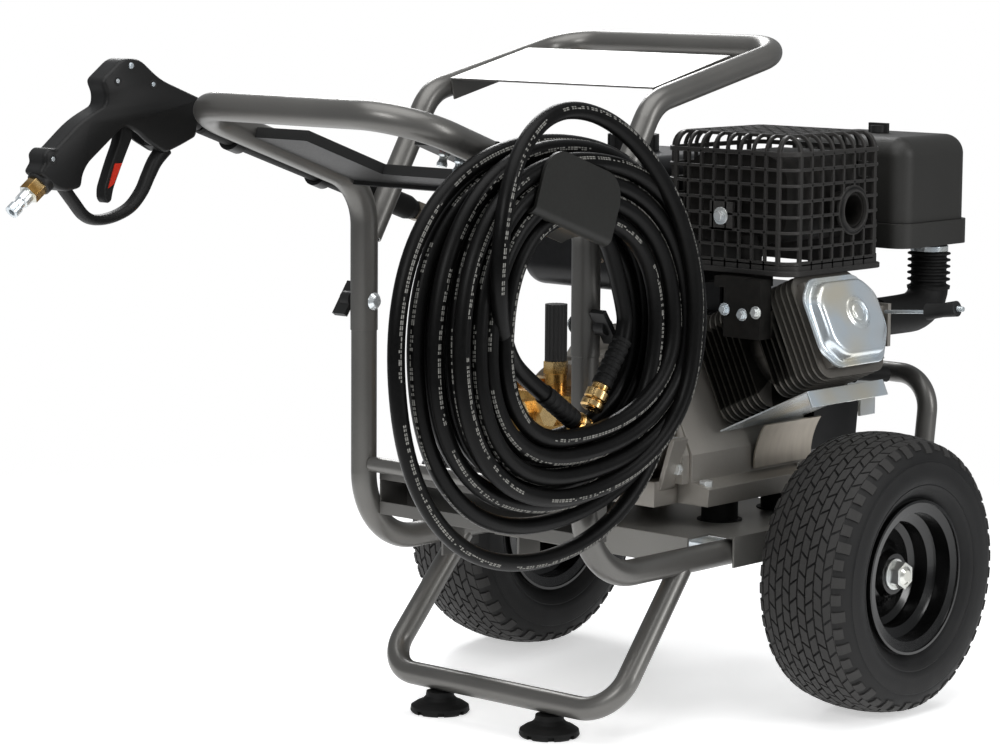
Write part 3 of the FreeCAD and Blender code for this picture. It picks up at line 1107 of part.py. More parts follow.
# ================================================================ HOSE
b = new_body("coil_ring")
sk = sketch(b, "XY_Plane")
el_ = Part.Ellipse(V(0, D["coil_mean_radius"] + D["coil_half_radial"], 0), V(D["coil_half_depth"], D["coil_mean_radius"], 0), V(0, D["coil_mean_radius"], 0))
sk.addGeometry(el_, False)
revolve(b, sk, "H_Axis")
place(b, (D["coil_x"], D["coil_y"], D["coil_z"]))
slab = box("hanger_clearance", 90.0, "Dims.hanger_length + 8", 22.0, (xi - 5.0, -D["hanger_length"] - 4.0, -D["hanger_drop"] - 2.0))
slab.Placement = FreeCAD.Placement(V(0, y1, z1), about((1, 0, 0), -pitch)) * slab.Placement
sub(cut("hose_coil_cut", b, slab), "hose_coil")

# the free end comes off the inner side of the coil, hangs down and ends in its coupler
hr_ = D["hose_radius"]
tail_pts = [(226.0, -604.0, 520.0), (227.0, -602.0, 492.0), (228.0, -590.0, 464.0), (228.0, -568.0, 442.0), (228.0, -543.0, 425.0)]
rr = cord_radii(tail_pts)
print("hose tail radii", [round(r, 1) for r in rr])
s = tube_shape(tail_pts, rr, hr_)
sub(feature("hose_tail_shape", s), "hose_tail")

td = (V(*tail_pts[-1]) - V(*tail_pts[-2])).normalize()


def tail_at(t_):
    q_ = V(*tail_pts[-1]) + td * t_
    return (q_.x, q_.y, q_.z)


def restrictor(n, pos, d_):
    b = new_body("restrictor_%d" % n)
    sk = sketch(b, "XY_Plane")
    pts_r = [(0, 0), (11.0, 0)]
    yy_ = 0.0
    for k in range(5):
        pts_r += [(11.0, yy_ + 4.0), (10.0, yy_ + 5.0), (10.0, yy_ + 8.0), (11.2, yy_ + 9.0)]
        yy_ += 10.0
    pts_r += [(11.2, 56.0), (0, 56.0)]
    poly(sk, pts_r)
    revolve(b, sk, "V_Axis")
    return place(b, pos, FreeCAD.Rotation(V(0, 1, 0), d_))


def coupler(n, pos, d_):
    b = new_body("coupler_%d" % n)
    sk = sketch(b, "XY_Plane")
    poly(sk, [(5.0, 0), (9.5, 0), (9.5, 6), (12.8, 8), (12.8, 17), (11.4, 18.5), (11.4, 20), (12.8, 21.5), (12.8, 27), (11.0, 29), (5.0, 29)])
    revolve(b, sk, "V_Axis")
    return place(b, pos, FreeCAD.Rotation(V(0, 1, 0), d_))


# the other end is tucked against the inside of the coil by the right-hand upright
e2 = V(222.0, -408.0, 470.0)
d2 = V(-0.05, -0.55, -0.83).normalize()
e3 = e2 + d2 * 56.2
sub(group("restrictors_group", [restrictor(0, tail_at(0.1), td), restrictor(1, (e2.x, e2.y, e2.z), d2)]), "hose_restrictors")
sub(group("couplers_group", [coupler(0, tail_at(56.3), td), coupler(1, (e3.x, e3.y, e3.z), d2)]), "hose_couplers")


def finish():
    doc.recompute()
    bad = []
    for o in doc.Objects:
        if any(k in o.State for k in ("Invalid", "Error")):
            bad.append((o.Name, o.Label, o.State))
    for o in SUB:
        if o.Shape.isNull() or not o.Shape.isValid():
            bad.append((o.Label, "null or invalid shape"))
    if bad:
        for b_ in bad:
            print("FAILED", b_)
        raise SystemExit("part.py: failed objects")
    for o in SUB:
        pl = o.Placement
        o.Placement = FreeCAD.Placement(V(0, D["datum_y"], 0), R0) * pl
    doc.recompute()
    names = [o.Label for o in SUB]
    assert len(set(names)) == len(names) and len(names) <= 60, len(names)
    os.makedirs("parts", exist_ok=True)
    for f in os.listdir("parts"):
        if f.endswith(".step") and f[:-5] not in names:
            os.remove(os.path.join("parts", f))
    for o in SUB:
        o.Shape.exportStep("parts/%s.step" % o.Label)
    print("sub-parts:", len(names))


finish()
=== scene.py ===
import math
import bmesh
import bpy
import numpy as np
from mathutils import Matrix, Vector


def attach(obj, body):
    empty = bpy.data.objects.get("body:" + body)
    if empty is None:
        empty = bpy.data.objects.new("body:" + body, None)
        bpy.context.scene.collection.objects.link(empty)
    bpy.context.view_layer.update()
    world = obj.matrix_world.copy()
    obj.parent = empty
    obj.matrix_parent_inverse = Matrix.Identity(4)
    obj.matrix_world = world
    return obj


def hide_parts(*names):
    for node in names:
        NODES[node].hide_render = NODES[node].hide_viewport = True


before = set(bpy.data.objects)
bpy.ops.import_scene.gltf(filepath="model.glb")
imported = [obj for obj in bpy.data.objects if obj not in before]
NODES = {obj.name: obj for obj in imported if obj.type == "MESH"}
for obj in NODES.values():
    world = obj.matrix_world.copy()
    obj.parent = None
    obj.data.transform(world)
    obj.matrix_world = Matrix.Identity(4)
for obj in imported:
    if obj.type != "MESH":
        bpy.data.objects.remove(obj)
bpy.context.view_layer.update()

YD = 0.3037                      # the design's own datum along Y
SC = bpy.context.scene
COL = SC.collection


def V3(x, y, z):
    """design millimetres to the row frame, metres"""
    return Vector((x / 1000.0, y / 1000.0 + YD, z / 1000.0))


# ------------------------------------------------------------------ camera
AZ, EL, ROLL = math.radians(41.9), math.radians(7.69), math.radians(0.41)
back = Vector((math.sin(AZ) * math.cos(EL), -math.cos(AZ) * math.cos(EL), math.sin(EL)))
fwd = -back
right = fwd.cross(Vector((0, 0, 1))).normalized()
up = right.cross(fwd)
r2 = right * math.cos(ROLL) + up * math.sin(ROLL)
u2 = -right * math.sin(ROLL) + up * math.cos(ROLL)
cd = bpy.data.cameras.new("camera")
cam = bpy.data.objects.new("camera", cd)
COL.objects.link(cam)
cd.sensor_width = 36.0
cd.lens = 3282.0 / 1000.0 * 36.0
cd.clip_start, cd.clip_end = 0.05, 60.0
m = Matrix.Identity(4)
for i in range(3):
    m[i][0], m[i][1], m[i][2] = r2[i], u2[i], back[i]
pos = V3(2481.0, -3123.6, 907.5)
m[0][3], m[1][3], m[2][3] = pos
cam.matrix_world = m
SC.camera = cam

# ------------------------------------------------------------------ materials


def new_mat(name):
    mt = bpy.data.materials.new(name)
    mt.use_nodes = True
    nt = mt.node_tree
    nt.nodes.clear()
    out = nt.nodes.new("ShaderNodeOutputMaterial")
    bs = nt.nodes.new("ShaderNodeBsdfPrincipled")
    nt.links.new(bs.outputs[0], out.inputs[0])
    return mt, nt, bs


def coords(nt, scale=(1, 1, 1)):
    tc = nt.nodes.new("ShaderNodeTexCoord")
    mp = nt.nodes.new("ShaderNodeMapping")
    mp.inputs["Scale"].default_value = scale
    nt.links.new(tc.outputs["Object"], mp.inputs[0])
    return mp.outputs[0]


def noise(nt, vec, scale, detail=3.0, rough=0.55):
    n = nt.nodes.new("ShaderNodeTexNoise")
    n.inputs["Scale"].default_value = scale
    n.inputs["Detail"].default_value = detail
    n.inputs["Roughness"].default_value = rough
    nt.links.new(vec, n.inputs["Vector"])
    return n.outputs["Fac"]


def ramp(nt, fac, stops):
    r = nt.nodes.new("ShaderNodeValToRGB")
    el = r.color_ramp.elements
    while len(el) < len(stops):
        el.new(0.5)
    for e, (p, c) in zip(el, stops):
        e.position = p
        e.color = (*c, 1.0) if len(c) == 3 else c
    nt.links.new(fac, r.inputs[0])
    return r.outputs[0]


def maprange(nt, fac, lo, hi, a=0.0, b=1.0):
    r = nt.nodes.new("ShaderNodeMapRange")
    r.inputs["From Min"].default_value = a
    r.inputs["From Max"].default_value = b
    r.inputs["To Min"].default_value = lo
    r.inputs["To Max"].default_value = hi
    nt.links.new(fac, r.inputs[0])
    return r.outputs[0]


def bump(nt, height, strength, distance, normal=None):
    b = nt.nodes.new("ShaderNodeBump")
    b.inputs["Strength"].default_value = strength
    b.inputs["Distance"].default_value = distance
    nt.links.new(height, b.inputs["Height"])
    if normal is not None:
        nt.links.new(normal, b.inputs["Normal"])
    return b.outputs[0]


def mixc(nt, fac, a, b, mode="MIX"):
    mx = nt.nodes.new("ShaderNodeMix")
    mx.data_type = "RGBA"
    mx.blend_type = mode
    for sock, v in ((mx.inputs[0], fac), (mx.inputs[6], a), (mx.inputs[7], b)):
        if isinstance(v, (int, float)):
            sock.default_value = v
        elif isinstance(v, tuple):
            sock.default_value = (*v, 1.0)
        else:
            nt.links.new(v, sock)
    return mx.outputs[2]


def math_(nt, op, a, b=None):
    n = nt.nodes.new("ShaderNodeMath")
    n.operation = op
    for i, v in enumerate((a, b)):
        if v is None:
            continue
        if isinstance(v, (int, float)):
            n.inputs[i].default_value = v
        else:
            nt.links.new(v, n.inputs[i])
    return n.outputs[0]


def edge_wear_and_highlight(nt):
    """bright where the surface is convex: partly edge wear, partly a painted highlight along the edges"""
    g = nt.nodes.new("ShaderNodeNewGeometry")
    return maprange(nt, g.outputs["Pointiness"], 0.0, 1.0, 0.51, 0.58)


def surface(name, dark, light, rough, metallic=0.0, nscale=60.0, stretch=(1, 1, 1), b_scale=900.0, b_str=0.25, b_dist=0.0003,
            coat=0.0, coat_rough=0.1, spec=0.5, blotch=6.0, edge=None, bevel=0.0, sheen=0.0):
    """one finish: two tones mixed by fine and broad noise, roughness that varies with them, and a fine bump"""
    mt, nt, bs = new_mat(name)
    vec = coords(nt, stretch)
    n1 = noise(nt, vec, nscale, 4.0)
    n2 = noise(nt, vec, blotch, 2.0)
    both = math_(nt, "ADD", math_(nt, "MULTIPLY", n1, 0.5), math_(nt, "MULTIPLY", n2, 0.5))
    col = ramp(nt, both, [(0.33, dark), (0.67, light)])
    if edge is not None:
        # convex edges take the lighter edge colour: edge wear together with a painted highlight
        col = mixc(nt, edge_wear_and_highlight(nt), col, edge)
    nt.links.new(col, bs.inputs["Base Color"])
    lo, hi = rough
    nt.links.new(maprange(nt, both, lo, hi, 0.3, 0.7), bs.inputs["Roughness"])
    bs.inputs["Metallic"].default_value = metallic
    bs.inputs["Specular IOR Level"].default_value = spec
    bs.inputs["Coat Weight"].default_value = coat
    bs.inputs["Coat Roughness"].default_value = coat_rough
    bs.inputs["Sheen Weight"].default_value = sheen
    nb = noise(nt, vec, b_scale, 3.0)
    normal = None
    if bevel:
        bv = nt.nodes.new("ShaderNodeBevel")
        bv.samples = 4
        bv.inputs["Radius"].default_value = bevel
        normal = bv.outputs[0]
    nt.links.new(bump(nt, nb, b_str, b_dist, normal), bs.inputs["Normal"])
    return mt


M = {}
M["frame"] = surface("frame_paint_mat", (0.115, 0.112, 0.105), (0.165, 0.16, 0.15), (0.30, 0.42), metallic=0.55, nscale=1500, b_scale=1400, b_str=0.18,
                     b_dist=0.00015, coat=0.25, coat_rough=0.22, bevel=0.0012)
# a lighter copy of the frame paint: painted light for the upward-facing engine platform
M["frame_paint_lit_copy"] = surface("frame_paint_lit_copy_mat", (0.20, 0.195, 0.18), (0.27, 0.262, 0.245), (0.32, 0.44), metallic=0.5, nscale=1500, b_scale=1400, b_str=0.18,
                           b_dist=0.00015, coat=0.2, coat_rough=0.25, bevel=0.0015)
M["black_plastic"] = surface("black_plastic_mat", (0.0045, 0.0045, 0.0045), (0.010, 0.0098, 0.0095), (0.38, 0.52), nscale=400, b_scale=1800, b_str=0.35,
                             b_dist=0.0002, bevel=0.0012, edge=(0.022, 0.022, 0.022), spec=0.22)
M["cleaner_plastic"] = surface("cleaner_plastic_mat", (0.020, 0.0195, 0.018), (0.031, 0.0305, 0.028), (0.42, 0.52), nscale=600, b_scale=2500, b_str=0.4,
                               b_dist=0.0002, bevel=0.0015, spec=0.35)
M["black_paint"] = surface("black_paint_mat", (0.0045, 0.0045, 0.005), (0.009, 0.009, 0.0095), (0.28, 0.4), nscale=200, b_scale=1500, b_str=0.2,
                           b_dist=0.00015, coat=0.08, coat_rough=0.25, bevel=0.0012, spec=0.2)
M["plate_paint"] = surface("hanger_paint_mat", (0.016, 0.016, 0.0145), (0.023, 0.023, 0.021), (0.42, 0.5), nscale=300, b_scale=1500, b_str=0.15,
                           b_dist=0.0001, bevel=0.001, spec=0.25)
M["rim"] = surface("rim_paint_mat", (0.002, 0.002, 0.002), (0.004, 0.004, 0.004), (0.16, 0.28), nscale=90, b_scale=700, b_str=0.1,
                   b_dist=0.0001, coat=0.35, coat_rough=0.1, spec=0.3)
M["rubber"] = surface("black_rubber_mat", (0.004, 0.004, 0.004), (0.009, 0.009, 0.0088), (0.5, 0.66), nscale=300, b_scale=1200, b_str=0.4, b_dist=0.0003,
                      bevel=0.0008, spec=0.18)
M["hose"] = surface("hose_rubber_mat", (0.0018, 0.0018, 0.0018), (0.0042, 0.0041, 0.004), (0.30, 0.44), nscale=250, b_scale=1600, b_str=0.5, b_dist=0.0002,
                    blotch=12, spec=0.13)
M["cast"] = surface("cast_alloy_mat", (0.075, 0.067, 0.056), (0.16, 0.145, 0.122), (0.38, 0.55), metallic=0.75, nscale=220, b_scale=900, b_str=0.55,
                    b_dist=0.0005, edge=(0.36, 0.34, 0.31), bevel=0.0015, spec=0.4)
M["dark_cast"] = surface("dark_casting_mat", (0.009, 0.0082, 0.0072), (0.030, 0.0275, 0.024), (0.35, 0.55), metallic=0.6, nscale=200, b_scale=900,
                         b_str=0.5, b_dist=0.0004, edge=(0.16, 0.15, 0.135), spec=0.3)
M["iron"] = surface("cast_iron_mat", (0.10, 0.095, 0.09), (0.2, 0.19, 0.18), (0.35, 0.5), metallic=0.9, nscale=200, stretch=(1, 0.2, 1))
M["heat"] = surface("heat_black_mat", (0.006, 0.0057, 0.0052), (0.018, 0.0165, 0.0145), (0.5, 0.7), metallic=0.3, nscale=120, b_scale=700, b_str=0.4,
                    b_dist=0.0003, bevel=0.001, spec=0.25)
M["steel"] = surface("lance_steel_mat", (0.20, 0.17, 0.13), (0.34, 0.30, 0.25), (0.28, 0.42), metallic=0.9, nscale=500, stretch=(1, 0.05, 1),
                     b_scale=900, b_str=0.15, b_dist=0.0001)
M["sheet"] = surface("deflector_sheet_mat", (0.34, 0.30, 0.25), (0.50, 0.455, 0.39), (0.34, 0.5), metallic=0.75, nscale=90, stretch=(1, 1, 0.15),
                     b_scale=500, b_str=0.15, b_dist=0.0002, bevel=0.0008)
M["brass"] = surface("brass_mat", (0.42, 0.22, 0.055), (0.66, 0.40, 0.13), (0.18, 0.34), metallic=1.0, nscale=140, b_scale=900, b_str=0.15,
                     b_dist=0.0001, edge=(0.85, 0.6, 0.28), bevel=0.0006)
# the guard's lighter edge colour is a painted highlight along the bar edges
M["guard"] = surface("muffler_guard_mat", (0.0035, 0.0034, 0.0032), (0.008, 0.0078, 0.0074), (0.32, 0.46), metallic=0.2, nscale=250, b_scale=1300,
                     b_str=0.3, b_dist=0.0002, edge=(0.045, 0.043, 0.041), bevel=0.001, spec=0.25)
M["paper"] = surface("filter_paper_mat", (0.42, 0.34, 0.19), (0.55, 0.46, 0.29), (0.8, 0.9), nscale=500, stretch=(1, 1, 0.1), b_scale=900, b_str=0.3)
M["red"] = surface("red_plastic_mat", (0.52, 0.022, 0.010), (0.68, 0.035, 0.014), (0.28, 0.38), nscale=300, b_scale=1500, b_str=0.15, b_dist=0.0001)
M["label"] = surface("blank_label_mat", (0.50, 0.49, 0.47), (0.56, 0.55, 0.53), (0.4, 0.5), nscale=300, b_scale=1500, b_str=0.1, b_dist=0.0001)
M["white_print"] = surface("hose_print_mat", (0.10, 0.098, 0.09), (0.34, 0.335, 0.31), (0.5, 0.6), nscale=1200, blotch=300, b_scale=1500, b_str=0.1,
                           b_dist=0.0001, spec=0.2)
M["orange"] = surface("orange_plastic_mat", (0.68, 0.12, 0.008), (0.80, 0.17, 0.014), (0.3, 0.4), nscale=300, b_scale=1500, b_str=0.15, b_dist=0.0001)
M["green"] = surface("green_plastic_mat", (0.02, 0.16, 0.04), (0.03, 0.24, 0.06), (0.3, 0.4), nscale=300, b_scale=1500, b_str=0.15, b_dist=0.0001)
M["white"] = surface("white_plastic_mat", (0.6, 0.6, 0.57), (0.72, 0.72, 0.69), (0.3, 0.4), nscale=300, b_scale=1500, b_str=0.15, b_dist=0.0001)


def zinc_mat():
    mt, nt, bs = new_mat("zinc_mat")
    vec = coords(nt)
    n1 = noise(nt, vec, 9.0, 2.0)
    n2 = noise(nt, vec, 240.0, 3.0)
    col = ramp(nt, n1, [(0.30, (0.66, 0.64, 0.54)), (0.44, (0.80, 0.83, 0.84)), (0.56, (0.72, 0.80, 0.86)), (0.70, (0.80, 0.76, 0.64))])
    nt.links.new(col, bs.inputs["Base Color"])
    nt.links.new(maprange(nt, n2, 0.16, 0.30), bs.inputs["Roughness"])
    bs.inputs["Metallic"].default_value = 0.72
    bv = nt.nodes.new("ShaderNodeBevel")
    bv.samples = 4
    bv.inputs["Radius"].default_value = 0.0012
    nt.links.new(bump(nt, noise(nt, vec, 700.0, 3.0), 0.2, 0.00015, bv.outputs[0]), bs.inputs["Normal"])
    return mt


M["zinc"] = zinc_mat()


def tyre_mat():
    mt, nt, bs = new_mat("tyre_rubber_mat")
    vec = coords(nt)
    n1 = noise(nt, vec, 45.0, 4.0)
    n2 = noise(nt, vec, 700.0, 3.0)
    both = math_(nt, "ADD", math_(nt, "MULTIPLY", n1, 0.6), math_(nt, "MULTIPLY", n2, 0.4))
    col = ramp(nt, both, [(0.32, (0.0050, 0.0050, 0.0053)), (0.68, (0.0125, 0.0125, 0.0127))])
    # convex edges lighter: scuffing together with a painted highlight
    col = mixc(nt, edge_wear_and_highlight(nt), col, (0.034, 0.033, 0.032))
    bs.inputs["Specular IOR Level"].default_value = 0.24
    nt.links.new(col, bs.inputs["Base Color"])
    nt.links.new(maprange(nt, both, 0.5, 0.72, 0.3, 0.7), bs.inputs["Roughness"])
    nt.links.new(bump(nt, n2, 0.5, 0.0004), bs.inputs["Normal"])
    return mt


M["tyre"] = tyre_mat()

NODE_MAT = {
    "frame": "frame_left frame_right front_leg rear_bumper handle_loop tray_frame tray_plate cross_members",
    # engine_platform takes the lighter, lit copy of the frame paint
    "frame_paint_lit_copy": "engine_platform",
    "black_plastic": "nozzle_panel air_cleaner_knob fuel_cap unloader_knob handle_knob_left handle_knob_right starter_grip gun_body gun_trigger throttle_lever",
    "cleaner_plastic": "air_cleaner_base air_cleaner_cover",
    "black_paint": "blower_housing recoil_starter fuel_tank lance_clips",
    "plate_paint": "hose_hanger",
    "rim": "rim_left rim_right",
    "tyre": "tyre_left tyre_right",
    "rubber": "rubber_feet isolators intake_boot hose_restrictors lance_grip spark_plug",
    "hose": "hose_coil hose_tail",
    "cast": "crankcase crankcase_cover carburettor pump_body",
    "dark_cast": "cylinder cylinder_head",
    "iron": "crankshaft flywheel",
    "heat": "muffler",
    "guard": "muffler_guard",
    "zinc": "valve_cover cylinder_guide_plate axle_nuts bolts axle",
    "sheet": "air_deflector",
    "brass": "pump_head hose_couplers gun_inlet",
    "steel": "lance_tube",
    "red": "nozzle_tips",
    "paper": "air_filter",
}
for key, names in NODE_MAT.items():
    for n in names.split():
        o = NODES[n]
        o.data.materials.clear()
        o.data.materials.append(M[key])


# ------------------------------------------------------------------ helpers for new pieces
def add_mesh(name, verts, faces, mats, body="root", slot=None, smooth=True, angle=35.0):
    me = bpy.data.meshes.new(name)
    me.from_pydata([tuple(v) for v in verts], [], faces)
    me.validate()
    me.update()
    return add_me(name, me, mats, body, smooth, angle)


def add_me(name, me, mats, body="root", smooth=True, angle=35.0):
    if not isinstance(mats, (list, tuple)):
        mats = [mats]
    for mt in mats:
        me.materials.append(mt)
    if smooth:
        me.shade_smooth()
        me.set_sharp_from_angle(angle=math.radians(angle))
    o = bpy.data.objects.new(name, me)
    COL.objects.link(o)
    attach(o, body)
    return o


class Mesh:
    """collects vertices and faces of one piece"""

    def __init__(self):
        self.v, self.f, self.mi = [], [], []

    def add(self, verts, faces, mi=0):
        k = len(self.v)
        self.v += [tuple(p) for p in verts]
        self.f += [tuple(i + k for i in f) for f in faces]
        self.mi += [mi] * len(faces)

    def tube(self, pts, radii, n=24, cap=True, mi=0, frame_up=None):
        """round sections along a line of points; radii one number or one per point"""
        pts = [Vector(p) for p in pts]
        if isinstance(radii, (int, float)):
            radii = [radii] * len(pts)
        k = len(pts)
        t = [(pts[min(i + 1, k - 1)] - pts[max(i - 1, 0)]).normalized() for i in range(k)]
        a = frame_up or (Vector((0, 0, 1)) if abs(t[0].z) < 0.9 else Vector((1, 0, 0)))
        u = t[0].cross(a).normalized()
        verts = []
        for i in range(k):
            u = (u - t[i] * u.dot(t[i])).normalized()
            w = t[i].cross(u)
            for j in range(n):
                an = 2 * math.pi * j / n
                verts.append(pts[i] + (u * math.cos(an) + w * math.sin(an)) * radii[i])
        faces = []
        for i in range(k - 1):
            for j in range(n):
                a0, a1 = i * n + j, i * n + (j + 1) % n
                faces.append((a0, a1, a1 + n, a0 + n))
        if cap:
            faces.append(tuple(range(n - 1, -1, -1)))
            faces.append(tuple((k - 1) * n + j for j in range(n)))
        self.add(verts, faces, mi)

    def lathe(self, profile, origin, axis, n=64, mi=0, closed=False, phase=0.0):
        """profile [(along, radius)], turned about the axis"""
        axis = Vector(axis).normalized()
        o = Vector(origin)
        a = Vector((0, 0, 1)) if abs(axis.z) < 0.9 else Vector((1, 0, 0))
        u = axis.cross(a).normalized()
        w = axis.cross(u)
        verts, faces = [], []
        k = len(profile)
        for j in range(n):
            an = 2 * math.pi * j / n + phase
            d = u * math.cos(an) + w * math.sin(an)
            for (s, r) in profile:
                verts.append(o + axis * s + d * r)
        segs = k if closed else k - 1
        for j in range(n):
            j2 = (j + 1) % n
            for i in range(segs):
                i2 = (i + 1) % k
                faces.append((j * k + i, j * k + i2, j2 * k + i2, j2 * k + i))
        self.add(verts, faces, mi)

    def prism(self, outline, origin, ex, ey, ez, depth, bevel=0.0, mi=0):
        """outline [(x, y)] counterclockwise in ex, ey; extruded along ez by depth, with a chamfered top edge"""
        o, ex, ey, ez = Vector(origin), Vector(ex), Vector(ey), Vector(ez)
        n = len(outline)
        rings = [(0.0, 0.0), (depth - bevel, 0.0), (depth, bevel)] if bevel else [(0.0, 0.0), (depth, 0.0)]
        cx = sum(p[0] for p in outline) / n
        cy = sum(p[1] for p in outline) / n
        verts = []
        for h, inset in rings:
            for (x, y) in outline:
                d = math.hypot(x - cx, y - cy) or 1.0
                k = max(0.0, 1 - inset / d)
                verts.append(o + ex * (cx + (x - cx) * k) + ey * (cy + (y - cy) * k) + ez * h)
        faces = [tuple(range(n - 1, -1, -1))]
        for i in range(len(rings) - 1):
            for j in range(n):
                a0, a1 = i * n + j, i * n + (j + 1) % n
                faces.append((a0, a1, a1 + n, a0 + n))
        faces.append(tuple((len(rings) - 1) * n + j for j in range(n)))
        self.add(verts, faces, mi)

    def done(self, name, mats, body="root", smooth=True, angle=35.0, bevel=0.0, seg=2):
        me = bpy.data.meshes.new(name)
        me.from_pydata(self.v, [], self.f)
        me.validate()
        me.update()
        if len(me.polygons) == len(self.mi):
            me.polygons.foreach_set("material_index", self.mi)
        b = bmesh.new()
        b.from_mesh(me)
        bmesh.ops.recalc_face_normals(b, faces=b.faces)
        b.to_mesh(me)
        b.free()
        o = add_me(name, me, mats, body, smooth, angle)
        if bevel:
            md = o.modifiers.new("edge", "BEVEL")
            md.width, md.segments, md.limit_method, md.angle_limit = bevel, seg, "ANGLE", math.radians(32)
        return o


PI = math.pi

# ------------------------------------------------------------------ two-tone castings and collars
def paint(node, keys, pick):
    """several finishes on one CAD piece, chosen by where each face lies (design millimetres)"""
    o = NODES[node]
    o.data.materials.clear()
    for k in keys:
        o.data.materials.append(M[k])
    mw = o.matrix_world
    for f in o.data.polygons:
        c = mw @ f.center
        f.material_index = pick(c.x * 1000.0, (c.y - YD) * 1000.0, c.z * 1000.0)


# ------------------------------------------------------------------ tyres: smooth carcass, turf blocks, shoulder lugs
def tyre(side, sx):
    q = Mesh()
    R0, HW = 165.0, 63.5
    half = [(47.8, 80), (47.8, 92), (52, 97.5), (57.6, 103), (60.3, 107), (61.3, 109), (61.0, 110.4), (62.2, 112), (63.3, 118), (HW, 124),
            (63.3, 130), (62.6, 136), (61.5, 137.2), (61.4, 138.8), (61.2, 140), (59.5, 145), (56.4, 150.5), (52, 154.8), (46, 157.6), (36, 159.6),
            (20, 161.0)]
    inner = [(37, 80), (37, 84), (43, 92), (49.5, 99), (52.5, 106), (54.2, 115), (54.5, 124), (53.6, 132), (51.5, 140), (43, 148), (22, 153.5)]
    prof = [(x, r_) for x, r_ in half] + [(0, 161.4)] + [(-x, r_) for x, r_ in reversed(half)]
    prof += [(-x, r_) for x, r_ in inner] + [(0, 155.5)] + [(x, r_) for x, r_ in reversed(inner)]
    c0 = V3(sx * 277.0, 0, R0)
    ax = Vector((sx, 0, 0))
    q.lathe([(a / 1000.0, b_ / 1000.0) for a, b_ in prof], c0, ax, n=120, closed=True)

    def block(x0, x1, a0, a1, rb0, rb1, rt0, rt1, tap=0.85, skew=0.0):
        """one block: across from x0 to x1, round from a0 to a1, base and top radii at its two ends"""
        vs = []
        for lvl, (ra, rb) in enumerate(((rb0, rb1), (rt0, rt1))):
            t_ = tap if lvl else 0.0
            at_ = t_ / R0
            for x, r_, sk in ((x0 + t_, ra, -skew), (x1 - t_, rb, skew)):
                for a in (a0 + at_ + sk, a1 - at_ + sk):
                    vs.append(c0 + ax * (x / 1000.0) + Vector((0, math.cos(a), math.sin(a))) * (r_ / 1000.0))
        k = [0, 1, 3, 2]
        fs = [tuple(reversed(k)), tuple(i + 4 for i in k)]
        for i in range(4):
            a_, b_ = k[i], k[(i + 1) % 4]
            fs.append((a_, b_, b_ + 4, a_ + 4))
        q.add(vs, fs)

    def top(x):
        return 164.93 - 7.2 * (abs(x) / 50.0) ** 2.2

    N = 48
    st = 2 * PI / N
    for row in range(-4, 5):
        xc = row * 10.7
        for j in range(N):
            a = (j + 0.5 * (row % 2)) * st
            h = 0.445 * st
            w = 4.85
            block(xc - w, xc + w, a - h, a + h, 158.4 - 2.2 * abs(row) / 4, 158.4 - 2.2 * abs(row) / 4, top(xc - w), top(xc + w), 0.55, (0.16 if row % 2 else -0.16) * st)
    for sgn in (-1, 1):
        for j in range(N):
            a = (j + 0.25) * st
            h = 0.30 * st
            long_ = j % 2
            x1, rt1 = (60.2, 147.5) if long_ else (57.6, 151.5)
            vs = []
            prof_t = [(48.4, 158.6), (52.6, 156.9), (x1 - 2.2, rt1 + 3.4), (x1, rt1)]
            prof_b = [(48.4, 150.0), (50.0, 149.0), (x1 - 7.0, rt1 - 4.0), (x1 - 5.0, rt1 - 4.0)]
            for pr in (prof_b, prof_t):
                for x, r_ in pr:
                    for a_ in (a - h, a + h):
                        vs.append(c0 + ax * (sgn * x / 1000.0) + Vector((0, math.cos(a_), math.sin(a_))) * (r_ / 1000.0))
            fs = []
            for i in range(3):
                b0, t0 = i * 2, 8 + i * 2
                fs += [(t0, t0 + 1, t0 + 3, t0 + 2), (b0, b0 + 2, b0 + 3, b0 + 1), (b0, t0, t0 + 2, b0 + 2), (b0 + 1, b0 + 3, t0 + 3, t0 + 1)]
            fs += [(0, 1, 9, 8), (6, 14, 15, 7)]
            q.add(vs, fs)
    o = q.done("turf_tyre_" + side, M["tyre"], body="wheel_" + side, angle=30.0)
    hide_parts("tyre_" + side)


tyre("left", -1)
tyre("right", 1)

# ------------------------------------------------------------------ muffler guard: ribs that cross and turn over the top
GX0, GX1, GY0, GY1, GZ0, GZ1, GR = 8.0, 201.0, -80.0, 106.0, 512.0, 676.0, 22.0
gm = Mesh()
HOLE_Y, HOLE_Z, HOLE_R = 43.0, 584.0, 25.0


def rect_bar(path, side, w, d, closed=False):
    """flat bar along path (design mm points), w wide along side, d deep inward from the path"""
    pts_ = [V3(*p_) for p_ in path]
    n_ = len(pts_)
    mid_ = V3((GX0 + GX1) / 2, (GY0 + GY1) / 2, (GZ0 + GZ1) / 2 - 30)
    sd = Vector(side)
    vs, fs = [], []
    for i in range(n_):
        a_ = pts_[(i - 1) % n_] if closed else pts_[max(i - 1, 0)]
        b_ = pts_[(i + 1) % n_] if closed else pts_[min(i + 1, n_ - 1)]
        t_ = (b_ - a_).normalized()
        nrm = t_.cross(sd).normalized()
        if nrm.dot(pts_[i] - mid_) < 0:
            nrm = -nrm
        e = 0.0006
        for u_, v_ in ((-w / 2000 + e, 0), (w / 2000 - e, 0), (w / 2000, -e), (w / 2000, -d / 1000), (-w / 2000, -d / 1000), (-w / 2000, -e)):
            vs.append(pts_[i] + sd * u_ + nrm * v_)
    m_ = 6
    for i in range(n_ if closed else n_ - 1):
        i2 = (i + 1) % n_
        for j in range(m_):
            j2 = (j + 1) % m_
            fs.append((i * m_ + j, i * m_ + j2, i2 * m_ + j2, i2 * m_ + j))
    if not closed:
        fs.append(tuple(range(m_ - 1, -1, -1)))
        fs.append(tuple((n_ - 1) * m_ + j for j in range(m_)))
    gm.add(vs, fs)


